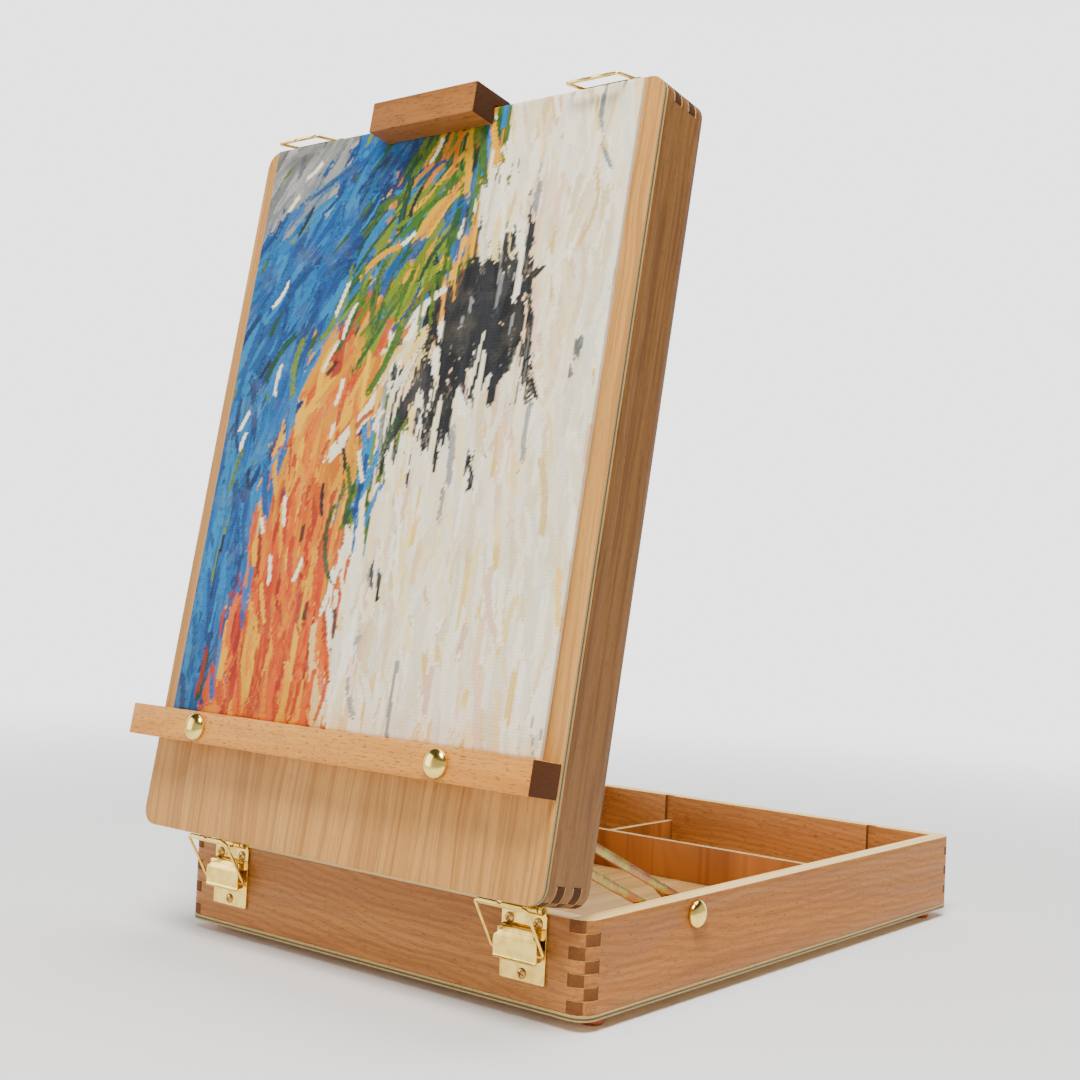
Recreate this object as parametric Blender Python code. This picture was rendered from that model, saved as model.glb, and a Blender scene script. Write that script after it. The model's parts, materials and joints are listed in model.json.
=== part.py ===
"""A table-top French box easel.

A shallow finger-jointed tray carries a lid of the same plan. The lid turns on a
hinge at the tray's front rim and leans back as the easel's face. Two slotted
stays with wing nuts hold it. A ledge, a canvas board and a sliding mast with a
clamp block are on the lid's face, and draw latches are on the tray's front and
on the lid's far end.

Frame: X across the box, Y from the front to the back, Z up, in metres. Tray
pieces are placed from the tray's front face and the underside of its base. Lid
pieces are modelled with the lid lying shut, and the hinge empty opens it.
"""

import math

import bmesh
import bpy
from mathutils import Vector

# ---------------------------------------------------------------- the box
BOX_WIDTH = 0.280
BOX_LENGTH = 0.390
TRAY_HEIGHT = 0.046
LID_DEPTH = 0.034
PLY = 0.003
WALL = 0.010
CORNER_RADIUS = 0.009
GAP = 0.0003
GLUE_LINE = 0.0002
OPEN_ANGLE = math.radians(80.17)
TRAY_FINGERS = 7
LID_FINGERS = 5

# ---------------------------------------------------------------- inside the tray
DIVIDER = 0.004
DIVIDER_TOP = 0.028
LONG_DIVIDER_Y = 0.308
SHORT_DIVIDER_X = -0.073
SPARE_GROOVE_X = 0.088
GROOVE_WIDTH = 0.0065
GROOVE_DEPTH = 0.003
FOOT_PROFILE = ((0.0, -0.005), (0.0047, -0.005), (0.0055, -0.0045),
                (0.0065, -0.0012), (0.0065, 0.0), (0.0, 0.0))
FOOT_INSET_X = 0.011
FOOT_INSET_Y = 0.021

# ---------------------------------------------------------------- hinge at the front rim
HINGE_OUT = 0.0032
HINGE_UP = 0.0019
RIM_GAP = 0.0004
SHEET = 0.001
PIN_RADIUS = 0.00085
BORE_RADIUS = 0.00115
KNUCKLE_RADIUS = 0.0023
PLATE_KNUCKLES = ((-0.0130, -0.0112), (-0.0033, 0.0033), (0.0112, 0.0130))
LEAF_KNUCKLES = ((-0.0102, -0.0044), (0.0044, 0.0102))
LEAF_TOP = 0.013
LEAF_HOOK_HALF = 0.009
LEAF_HOOK_OUT = 0.0055
LEAF_HOOK_LOW = 0.006
LEAF_HOOK_HIGH = 0.007
LEAF_HOOK_LIP = 0.0088
SHEET_CORNER = 0.001
TAB_INSET = 0.0001
TAB_PAST_AXIS = 0.0002

# ---------------------------------------------------------------- draw latches
LATCH_X = 0.104
LATCH_HALF = 0.0135
LATCH_BOTTOM = 0.0128
LATCH_TOP = 0.0448
LEVER_HALF = 0.0131
LEVER_BOTTOM = 0.0228
LEVER_OUT = 0.0074
LEVER_PIVOT_OUT = 0.0046
LEVER_PIVOT_UP = 0.036
ROLL_RADIUS = 0.0022
ROLL_HALF = 0.0106
EAR_INNER = 0.011
EAR_OUTER = 0.012
EAR_PAST_PIVOT = 0.0014
EAR_ROOT = (0.0335, 0.0385)
EAR_TIP = (0.0345, 0.0375)
FLANGE_INNER = 0.0123
FLANGE_OUTER = 0.0130
FLANGE_HALF = 0.003
FLANGE_BACK = 0.002
BAIL_PIVOT_OUT = 0.005
BAIL_PIVOT_UP = 0.0272
BAIL_HALF = 0.0155
BAIL_LENGTH = 0.0274
BAIL_WIRE = 0.0008
BAIL_BAR = 0.0032
BAIL_END = 0.0108
BAIL_BEND = 0.0016
BAIL_BAR_CORNER = 0.0008
FRONT_BAIL_LEAN = math.radians(31.0)
LID_BAIL_LEAN = math.radians(194.3)
STRIKE_BOTTOM = 0.0275
STRIKE_TOP = 0.0438
STRIKE_HOOK_HALF = 0.0115
STRIKE_HOOK_OUT = 0.006
STRIKE_HOOK_LOW = 0.041
STRIKE_HOOK_HIGH = 0.042
STRIKE_HOOK_LIP = 0.0388

# ---------------------------------------------------------------- bolts, nuts and stays
BOLT_RADIUS = 0.003
BOLT_HOLE = 0.0033
BOLT_CHAMFER = 0.0004
DOME_RADIUS = 0.007
DOME_RIM = 0.0008
DOME_HEIGHT = 0.0036
DOME_STEPS = (90, 66, 42, 20)
STAY_BOLT_LENGTH = 0.0235
LEDGE_BOLT_LENGTH = 0.0375
HUB_SIDE = ((0.0060, 0.0), (0.0057, 0.0030), (0.0047, 0.0068))
HUB_HEIGHT = 0.0070
WING_CORNERS = ((0.0040, 0.0008), (0.0070, 0.0016), (0.0120, 0.0060),
                (0.0125, 0.0105), (0.0085, 0.0112), (0.0048, 0.0060))
WING_RADII = (0, 0, 0.0015, 0.0018, 0.0018, 0)
WING_HALF = 0.001
STAY_BOLT_Y = 0.089
STAY_BOLT_Z = 0.0376
STAY_EYE_UP = 0.028
STAY_EYE_IN = 0.008
STAY_CENTRE_X = 0.1285
STAY_THICKNESS = 0.002
STAY_WIDTH = 0.016
SLOT_RADIUS = 0.00375
SLOT_START = 0.018
RIVET_RADIUS = 0.002
RIVET_OUT = 0.0012
RIVET_HEAD = ((0.0040, 0.0), (0.0036, 0.0009), (0.0022, 0.0016), (0.0, 0.0019))
WASHER_RADIUS = 0.008

# ---------------------------------------------------------------- on and in the lid
LEDGE_LOW = 0.0468
LEDGE_HEIGHT = 0.0162
LEDGE_OUT = 0.0204
LEDGE_BOLT_X = 0.085
CANVAS_HALF = 0.129
CANVAS_TOP = 0.3885
CANVAS_THICKNESS = 0.003
BLOCK_HALF = 0.037
BLOCK_LOW = 0.3785
BLOCK_TOP = 0.3953
BLOCK_OUT = 0.0198
BLOCK_BACK = 0.026
BLOCK_CHAMFER = 0.0015
MAST_HALF = 0.015
MAST_THICKNESS = 0.008
MAST_END = 0.205
GUIDE_WIDTH = 0.012
GUIDE_LOW = 0.215
GUIDE_HIGH = 0.365
BRIDGE_LOW = 0.292
BRIDGE_HIGH = 0.316
BRIDGE_THICKNESS = 0.006

# colour, metallic, roughness
FINISHES = {
    "beech": ((0.60, 0.36, 0.19), 0.0, 0.55),
    "plywood": ((0.72, 0.50, 0.29), 0.0, 0.60),
    "pale_ply": ((0.86, 0.72, 0.50), 0.0, 0.65),
    "brass": ((0.90, 0.74, 0.38), 1.0, 0.22),
    "zinc": ((0.62, 0.52, 0.18), 1.0, 0.35),
    "canvas": ((0.82, 0.76, 0.64), 0.0, 0.80),
    "foot_plastic": ((0.55, 0.17, 0.07), 0.0, 0.50),
}

LEFT_AND_RIGHT = (("left", -1), ("right", 1))


# ================================================================ building blocks
def material(finish):
    """The finish's material, made once."""
    existing = bpy.data.materials.get(finish)
    if existing:
        return existing
    colour, metallic, roughness = FINISHES[finish]
    made = bpy.data.materials.new(finish)
    made.use_nodes = True
    shader = made.node_tree.nodes["Principled BSDF"]
    shader.inputs["Base Color"].default_value = (*colour, 1.0)
    shader.inputs["Metallic"].default_value = metallic
    shader.inputs["Roughness"].default_value = roughness
    return made


def empty(name, parent, location, turn_x=0.0, turn_z=0.0):
    """A named axis or frame that pieces hang on."""
    made = bpy.data.objects.new(name, None)
    made.empty_display_size = 0.02
    made.location = location
    made.rotation_euler = (turn_x, 0.0, turn_z)
    made.parent = parent
    bpy.context.scene.collection.objects.link(made)
    return made


def piece(name, shape, parent, finish, location=(0, 0, 0), turn=(0, 0, 0)):
    """One physical piece: its shape becomes the mesh of an object of its own."""
    mesh = bpy.data.meshes.new(name)
    shape.to_mesh(mesh)
    shape.free()
    mesh.shade_smooth()
    mesh.set_sharp_from_angle(angle=math.radians(35))
    mesh.materials.append(material(finish))
    made = bpy.data.objects.new(name, mesh)
    made.parent = parent
    made.location = location
    made.rotation_euler = turn
    bpy.context.scene.collection.objects.link(made)
    return made


def tool(target, shape, operation):
    """Cut the shape out of the target, or weld it on, in the target's own frame."""
    mesh = bpy.data.meshes.new(target.name + "_tool")
    shape.to_mesh(mesh)
    shape.free()
    made = bpy.data.objects.new(mesh.name, mesh)
    made.parent = target
    made.hide_render = True
    made.display_type = "WIRE"
    bpy.context.scene.collection.objects.link(made)
    step = target.modifiers.new(operation.lower(), "BOOLEAN")
    step.operation = operation
    step.solver = "EXACT"
    step.object = made


def cut(target, shape):
    tool(target, shape, "DIFFERENCE")


def weld(target, shape):
    tool(target, shape, "UNION")


def on_axis(axis):
    """A function that puts (u, v) across the named axis and w along it."""
    return {
        "X": lambda u, v, w: (w, u, v),
        "Y": lambda u, v, w: (u, w, v),
        "Z": lambda u, v, w: (u, v, w),
    }[axis]


def prism(outline, low, high, axis):
    """A flat outline drawn out along X (outline in Y, Z), Y (X, Z) or Z (X, Y)."""
    place = on_axis(axis)
    shape = bmesh.new()
    lower = [shape.verts.new(place(u, v, low)) for u, v in outline]
    upper = [shape.verts.new(place(u, v, high)) for u, v in outline]
    shape.faces.new(lower)
    shape.faces.new(upper)
    for i, corner in enumerate(lower):
        j = (i + 1) % len(lower)
        shape.faces.new((corner, lower[j], upper[j], upper[i]))
    bmesh.ops.recalc_face_normals(shape, faces=shape.faces)
    return shape


def rectangle(u_low, v_low, u_high, v_high):
    return [(u_low, v_low), (u_high, v_low), (u_high, v_high), (u_low, v_high)]


def block(low, high):
    """A plain block between two opposite corners."""
    return prism(rectangle(low[0], low[1], high[0], high[1]), low[2], high[2], "Z")


def blocks(corners):
    """Several separate blocks in one shape, to cut with."""
    shape = bmesh.new()
    mesh = bpy.data.meshes.new("blocks")
    for low, high in corners:
        one = block(low, high)
        one.to_mesh(mesh)
        one.free()
        shape.from_mesh(mesh)
    bpy.data.meshes.remove(mesh)
    return shape


def rounded(points, radii, closed=True, steps=4):
    """The points of a flat path with an arc of the given radius at each corner."""
    corners = [Vector(p) for p in points]
    if not hasattr(radii, "__len__"):
        radii = [radii] * len(corners)
    path = []
    for i, corner in enumerate(corners):
        at_end = not closed and i in (0, len(corners) - 1)
        if at_end or radii[i] == 0:
            path.append(corner)
            continue
        back = (corners[i - 1] - corner).normalized()
        ahead = (corners[(i + 1) % len(corners)] - corner).normalized()
        half = back.angle(ahead) / 2
        centre = corner + (back + ahead).normalized() * radii[i] / math.sin(half)
        first = corner + back * radii[i] / math.tan(half) - centre
        last = corner + ahead * radii[i] / math.tan(half) - centre
        sweep = first.angle_signed(last)
        for k in range(steps + 1):
            path.append(centre + Vector(turned_by(first, -sweep * k / steps)))
    return [tuple(p) for p in path]


def turned_by(vector, angle):
    """A flat vector turned anticlockwise."""
    c, s = math.cos(angle), math.sin(angle)
    return (vector[0] * c - vector[1] * s, vector[0] * s + vector[1] * c)


def turned(profile, axis="Z", sides=20):
    """A profile of (radius, height) points turned about an axis.

    A profile that starts and ends at radius 0 is solid; any other closes on
    itself as a ring.
    """
    place = on_axis(axis)
    shape = bmesh.new()
    rings = []
    for radius, height in profile:
        count = sides if radius else 1
        angles = [2 * math.pi * k / count for k in range(count)]
        rings.append([shape.verts.new(place(radius * math.cos(a), radius * math.sin(a), height))
                      for a in angles])
    pairs = list(zip(rings, rings[1:]))
    if profile[0][0]:
        pairs.append((rings[-1], rings[0]))
    for first, second in pairs:
        for k in range(sides):
            j = k + 1
            corners = (first[k % len(first)], first[j % len(first)],
                       second[j % len(second)], second[k % len(second)])
            shape.faces.new(list(dict.fromkeys(corners)))
    bmesh.ops.recalc_face_normals(shape, faces=shape.faces)
    return shape


def rod(radius, low, high, axis, sides=12):
    return turned([(0, low), (radius, low), (radius, high), (0, high)], axis, sides)


def moved(shape, offset):
    bmesh.ops.translate(shape, vec=offset, verts=shape.verts)
    return shape


def wire(points, radius, sides=6):
    """A round wire along a path in the XZ plane, mitred at each point."""
    path = [Vector(p) for p in points]
    shape = bmesh.new()
    rings = []
    for i, at in enumerate(path):
        before = (at - path[i - 1]).normalized() if i else None
        after = (path[i + 1] - at).normalized() if i + 1 < len(path) else None
        along = ((before or after) + (after or before)).normalized()
        across = Vector((-along.y, along.x))
        stretch = 1 / along.dot(after or before)
        ring = []
        for k in range(sides):
            angle = 2 * math.pi * (k + 0.5) / sides
            side = across * (radius * stretch * math.cos(angle))
            ring.append(shape.verts.new((at.x + side.x, radius * math.sin(angle), at.y + side.y)))
        rings.append(ring)
    for first, second in zip(rings, rings[1:]):
        for k in range(sides):
            j = (k + 1) % sides
            shape.faces.new((first[k], first[j], second[j], second[k]))
    shape.faces.new(rings[0])
    shape.faces.new(rings[-1])
    bmesh.ops.recalc_face_normals(shape, faces=shape.faces)
    return shape


# ================================================================ the two boxes
def box_outline():
    """The box's plan, with rounded corners."""
    half = BOX_WIDTH / 2
    return rounded(rectangle(-half, 0, half, BOX_LENGTH), CORNER_RADIUS, steps=6)


def end_wall_outline(at_front):
    """The plan of a front or rear wall that still owns both corners."""
    half = BOX_WIDTH / 2
    outer, inner = (0, WALL) if at_front else (BOX_LENGTH, BOX_LENGTH - WALL)
    corners = [(-half, outer), (half, outer), (half, inner), (-half, inner)]
    return rounded(corners, (CORNER_RADIUS, CORNER_RADIUS, 0, 0), steps=6)


def side_wall_outline(side):
    """The plan of a left or right wall that still owns both corners."""
    outer = side * BOX_WIDTH / 2
    inner = outer - side * WALL
    corners = [(outer, 0), (outer, BOX_LENGTH), (inner, BOX_LENGTH), (inner, 0)]
    return rounded(corners, (CORNER_RADIUS, CORNER_RADIUS, 0, 0), steps=6)


def finger_rows(low, high, count, parity):
    """The heights that a wall gives up to its neighbour's fingers."""
    row = (high - low) / count
    rows = []
    for i in range(parity, count, 2):
        start = low - WALL if i == 0 else low + i * row - GLUE_LINE / 2
        end = high + WALL if i == count - 1 else low + (i + 1) * row + GLUE_LINE / 2
        rows.append((start, end))
    return rows


def box_walls(prefix, parent, low, high, count, far_name, near_name):
    """Four finger-jointed walls; the side walls own the first and last fingers."""
    half = BOX_WIDTH / 2
    past = half + WALL
    reach = half - WALL - GLUE_LINE
    walls = {}
    for name, at_front in ((near_name, True), (far_name, False)):
        walls[name] = piece(f"{prefix}_{name}_wall", prism(end_wall_outline(at_front), low, high, "Z"),
                            parent, "beech")
        outer, inner = (-WALL, 2 * WALL) if at_front else (BOX_LENGTH - 2 * WALL, BOX_LENGTH + WALL)
        cuts = []
        for start, end in finger_rows(low, high, count, 0):
            cuts.append(((-past, outer, start), (-reach, inner, end)))
            cuts.append(((reach, outer, start), (past, inner, end)))
        cut(walls[name], blocks(cuts))
    for name, side in LEFT_AND_RIGHT:
        walls[name] = piece(f"{prefix}_{name}_wall", prism(side_wall_outline(side), low, high, "Z"),
                            parent, "beech")
        x_low, x_high = sorted((side * (half - 2 * WALL), side * past))
        cuts = []
        for start, end in finger_rows(low, high, count, 1):
            cuts.append(((x_low, -WALL, start), (x_high, WALL + GLUE_LINE, end)))
            cuts.append(((x_low, BOX_LENGTH - WALL - GLUE_LINE, start), (x_high, BOX_LENGTH + WALL, end)))
        cut(walls[name], blocks(cuts))
    return walls


def make_tray(tray):
    """Base, walls, dividers and feet."""
    piece("tray_base", prism(box_outline(), 0, PLY, "Z"), tray, "pale_ply")
    walls = box_walls("tray", tray, PLY + GAP, TRAY_HEIGHT, TRAY_FINGERS, "rear", "front")
    inner = BOX_LENGTH - WALL
    grooves = []
    for x in (SHORT_DIVIDER_X, SPARE_GROOVE_X):
        grooves.append(((x - GROOVE_WIDTH / 2, inner - WALL, -WALL),
                        (x + GROOVE_WIDTH / 2, inner + GROOVE_DEPTH, TRAY_HEIGHT + WALL)))
    cut(walls["rear"], blocks(grooves))
    for name, side in LEFT_AND_RIGHT:
        hole = rod(BOLT_HOLE, -WALL, WALL, "X")
        cut(walls[name], moved(hole, (side * (BOX_WIDTH - WALL) / 2, STAY_BOLT_Y, STAY_BOLT_Z)))

    floor = PLY + GAP
    reach = BOX_WIDTH / 2 - WALL - GAP
    piece("long_divider",
          block((-reach, LONG_DIVIDER_Y - DIVIDER / 2, floor),
                (reach, LONG_DIVIDER_Y + DIVIDER / 2, DIVIDER_TOP)), tray, "pale_ply")
    piece("short_divider",
          block((SHORT_DIVIDER_X - DIVIDER / 2, LONG_DIVIDER_Y + DIVIDER / 2 + GAP, floor),
                (SHORT_DIVIDER_X + DIVIDER / 2, inner + GROOVE_DEPTH - GAP, DIVIDER_TOP)),
          tray, "pale_ply")

    for x_name, side in LEFT_AND_RIGHT:
        for y_name, y in (("front", FOOT_INSET_Y), ("rear", BOX_LENGTH - FOOT_INSET_Y)):
            piece(f"foot_{y_name}_{x_name}", turned(FOOT_PROFILE, sides=20), tray, "foot_plastic",
                  (side * (BOX_WIDTH / 2 - FOOT_INSET_X), y, -GAP))


def make_lid(lid):
    """The lid's panel and walls, lying shut with its rim at z = 0."""
    inside = LID_DEPTH - PLY
    panel = piece("lid_panel", prism(box_outline(), inside, LID_DEPTH, "Z"), lid, "plywood")
    walls = box_walls("lid", lid, 0, inside - GAP, LID_FINGERS, "top", "bottom")
    slot = MAST_HALF + 2 * GAP
    cut(walls["top"], block((-slot, BOX_LENGTH - 2 * WALL, inside - GAP - MAST_THICKNESS - 2 * GAP),
                            (slot, BOX_LENGTH + WALL, LID_DEPTH)))
    for side in (-1, 1):
        hole = rod(BOLT_HOLE, 0, 2 * LID_DEPTH, "Z")
        cut(panel, moved(hole, (side * LEDGE_BOLT_X, LEDGE_LOW + LEDGE_HEIGHT / 2, 0)))


# ================================================================ hinge and latches
def knuckle(start, end, y, z):
    """A tube section of the hinge barrel."""
    ring = [(BORE_RADIUS, start), (KNUCKLE_RADIUS, start), (KNUCKLE_RADIUS, end), (BORE_RADIUS, end)]
    return moved(turned(ring, "X", 12), (0, y, z))


def hook_outline(root, out, low, high, lip):
    """A sheet shelf that leaves a plate and turns up or down into a lip."""
    edge = high if lip > high else low
    other = low if lip > high else high
    inside = -out + SHEET
    return [(root, other), (-out, other), (-out, lip), (inside, lip), (inside, edge), (root, edge)]


def tabbed(far_edge, near_edge, spans, tab_end):
    """A plate's outline in X and Z, with a tab on its near edge for each knuckle."""
    points = [(-LATCH_HALF, near_edge), (-LATCH_HALF, far_edge),
              (LATCH_HALF, far_edge), (LATCH_HALF, near_edge)]
    for start, end in reversed(spans):
        left, right = start + TAB_INSET, end - TAB_INSET
        points += [(right, near_edge), (right, tab_end), (left, tab_end), (left, near_edge)]
    near_radius = 0 if spans else SHEET_CORNER
    radii = [near_radius, SHEET_CORNER, SHEET_CORNER, near_radius]
    return rounded(points, radii + [0] * (len(points) - 4), steps=2)


def latch_plate(name, frame, spans, tab_end):
    """A latch's base plate with the two ears and the pin that its lever turns on."""
    back, face = -GAP, -GAP - SHEET
    outline = tabbed(LATCH_BOTTOM, LATCH_TOP, spans, tab_end)
    plate = piece(name, prism(outline, face, back, "Y"), frame, "brass")
    root = face + SHEET / 2
    reach = -LEVER_PIVOT_OUT - EAR_PAST_PIVOT
    corners = [(root, EAR_ROOT[0]), (reach, EAR_TIP[0]), (reach, EAR_TIP[1]), (root, EAR_ROOT[1])]
    ear = rounded(corners, (0, SHEET_CORNER, SHEET_CORNER, 0), steps=2)
    for side in (-1, 1):
        x_low, x_high = sorted((side * EAR_INNER, side * EAR_OUTER))
        weld(plate, prism(ear, x_low, x_high, "X"))
    pin = rod(PIN_RADIUS, -EAR_OUTER - GAP, EAR_OUTER + GAP, "X", 8)
    weld(plate, moved(pin, (0, -LEVER_PIVOT_OUT, LEVER_PIVOT_UP)))
    return plate


def latch_lever(name, pivot):
    """A latch's thumb lever: face plate, rolled top edge and two side flanges."""
    face = LEVER_PIVOT_OUT - LEVER_OUT
    drop = LEVER_BOTTOM - LEVER_PIVOT_UP
    corners = rectangle(-LEVER_HALF, drop, LEVER_HALF, 0)
    outline = rounded(corners, (SHEET_CORNER, SHEET_CORNER, 0, 0), steps=2)
    lever = piece(name, prism(outline, face, face + SHEET, "Y"), pivot, "brass")
    roll = [(BORE_RADIUS, -ROLL_HALF), (ROLL_RADIUS, -ROLL_HALF),
            (ROLL_RADIUS, ROLL_HALF), (BORE_RADIUS, ROLL_HALF)]
    weld(lever, turned(roll, "X", 12))
    bail_y = LEVER_PIVOT_OUT - BAIL_PIVOT_OUT
    bail_z = BAIL_PIVOT_UP - LEVER_PIVOT_UP
    for side in (-1, 1):
        x_low, x_high = sorted((side * FLANGE_INNER, side * FLANGE_OUTER))
        flange = rectangle(face + SHEET / 2, bail_z - FLANGE_HALF, bail_y + FLANGE_BACK, bail_z + FLANGE_HALF)
        weld(lever, prism(flange, x_low, x_high, "X"))
    cut(lever, moved(rod(BORE_RADIUS, -BAIL_HALF, BAIL_HALF, "X", 12), (0, bail_y, bail_z)))
    return lever


def latch_bail(name, axis):
    """A latch's wire bail, pointing up from its pivot, with a flat pull bar."""
    top = BAIL_LENGTH
    corners = [(-BAIL_END, 0), (-BAIL_HALF, 0), (-BAIL_HALF, top),
               (BAIL_HALF, top), (BAIL_HALF, 0), (BAIL_END, 0)]
    path = rounded(corners, BAIL_BEND, closed=False, steps=2)
    bail = piece(name, wire(path, BAIL_WIRE), axis, "brass")
    bar = rectangle(-LATCH_HALF, top - BAIL_BAR / 2, LATCH_HALF, top + BAIL_BAR / 2)
    weld(bail, prism(rounded(bar, BAIL_BAR_CORNER, steps=2), -SHEET / 2, SHEET / 2, "Y"))
    return bail


def make_latch(where, side_name, frame, bail_lean, spans=(), tab_end=0.0):
    """One draw latch on a wall whose outward side is the frame's -Y."""
    plate = latch_plate(f"{where}_latch_plate_{side_name}", frame, spans, tab_end)
    pivot = Vector((0, -LEVER_PIVOT_OUT, LEVER_PIVOT_UP))
    lever_axis = empty(f"{where}_lever_{side_name}_axis", frame, pivot)
    latch_lever(f"{where}_latch_lever_{side_name}", lever_axis)
    bail_pivot = Vector((0, -BAIL_PIVOT_OUT, BAIL_PIVOT_UP)) - pivot
    bail_axis = empty(f"{where}_bail_{side_name}_axis", lever_axis, bail_pivot, turn_x=bail_lean)
    latch_bail(f"{where}_latch_bail_{side_name}", bail_axis)
    return plate


def make_hardware(tray, lid):
    """Hinges with their pins, front and lid latches, and the rear strikes."""
    axis_z = TRAY_HEIGHT + HINGE_UP
    tab_end = axis_z + TAB_PAST_AXIS
    for name, side in LEFT_AND_RIGHT:
        x = side * LATCH_X
        frame = empty(f"front_latch_{name}_frame", tray, (x, 0, 0))
        plate = make_latch("front", name, frame, FRONT_BAIL_LEAN, PLATE_KNUCKLES, tab_end)
        for start, end in PLATE_KNUCKLES:
            weld(plate, knuckle(start, end, -HINGE_OUT, axis_z))
        pin = rod(PIN_RADIUS, -LATCH_HALF, LATCH_HALF, "X", 12)
        piece(f"hinge_pin_{name}", pin, tray, "brass", (x, -HINGE_OUT, axis_z))

        leaf_axis_z = HINGE_UP - RIM_GAP
        leaf_low = leaf_axis_z + KNUCKLE_RADIUS + GAP
        leaf_plan = tabbed(LEAF_TOP, leaf_low, LEAF_KNUCKLES, leaf_axis_z - TAB_PAST_AXIS)
        leaf_shape = prism(leaf_plan, -GAP - SHEET, -GAP, "Y")
        leaf = piece(f"lid_hinge_leaf_{name}", leaf_shape, lid, "brass", (x, 0, 0))
        for start, end in LEAF_KNUCKLES:
            weld(leaf, knuckle(start, end, -HINGE_OUT, leaf_axis_z))
        root = -GAP - SHEET / 2
        hook = hook_outline(root, LEAF_HOOK_OUT, LEAF_HOOK_LOW, LEAF_HOOK_HIGH, LEAF_HOOK_LIP)
        weld(leaf, prism(hook, -LEAF_HOOK_HALF, LEAF_HOOK_HALF, "X"))

        frame = empty(f"lid_latch_{name}_frame", lid, (x, BOX_LENGTH, TRAY_HEIGHT), turn_x=math.pi)
        make_latch("lid", name, frame, LID_BAIL_LEAN)
        frame = empty(f"rear_strike_{name}_frame", tray, (x, BOX_LENGTH, 0), turn_z=math.pi)
        plan = rounded(rectangle(-LATCH_HALF, STRIKE_BOTTOM, LATCH_HALF, STRIKE_TOP), SHEET_CORNER, steps=2)
        strike = piece(f"rear_strike_{name}", prism(plan, -GAP - SHEET, -GAP, "Y"), frame, "brass")
        hook = hook_outline(root, STRIKE_HOOK_OUT, STRIKE_HOOK_LOW, STRIKE_HOOK_HIGH, STRIKE_HOOK_LIP)
        weld(strike, prism(hook, -STRIKE_HOOK_HALF, STRIKE_HOOK_HALF, "X"))


# ================================================================ bolts, nuts and stays
def dome_bolt(name, parent, location, turn, length):
    """A dome-headed bolt: the head stands on z = 0 and the shank points down."""
    rim = GAP + DOME_RIM
    arc = [(DOME_RADIUS * math.sin(a), rim + DOME_HEIGHT * math.cos(a))
           for a in map(math.radians, DOME_STEPS)]
    shank = [(0, -length), (BOLT_RADIUS - BOLT_CHAMFER, -length),
             (BOLT_RADIUS, BOLT_CHAMFER - length), (BOLT_RADIUS, GAP), (DOME_RADIUS, GAP)]
    profile = shank + arc + [(0, rim + DOME_HEIGHT)]
    return piece(name, turned(profile), parent, "brass", location, turn)


def winged(name, profile, parent, location, turn):
    """A turned hub with two wings in the plane of its axis."""
    made = piece(name, turned(profile, sides=16), parent, "brass", location, turn)
    outline = rounded(WING_CORNERS, WING_RADII, steps=2)
    for side in (-1, 1):
        weld(made, prism([(side * u, v) for u, v in outline], -WING_HALF, WING_HALF, "Y"))


def wing_nut(name, parent, location, turn):
    """A wing nut that sits on z = 0, its bore clear of the bolt."""
    winged(name, [(BOLT_HOLE, 0), *HUB_SIDE, (BOLT_HOLE, HUB_HEIGHT)], parent, location, turn)


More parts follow.
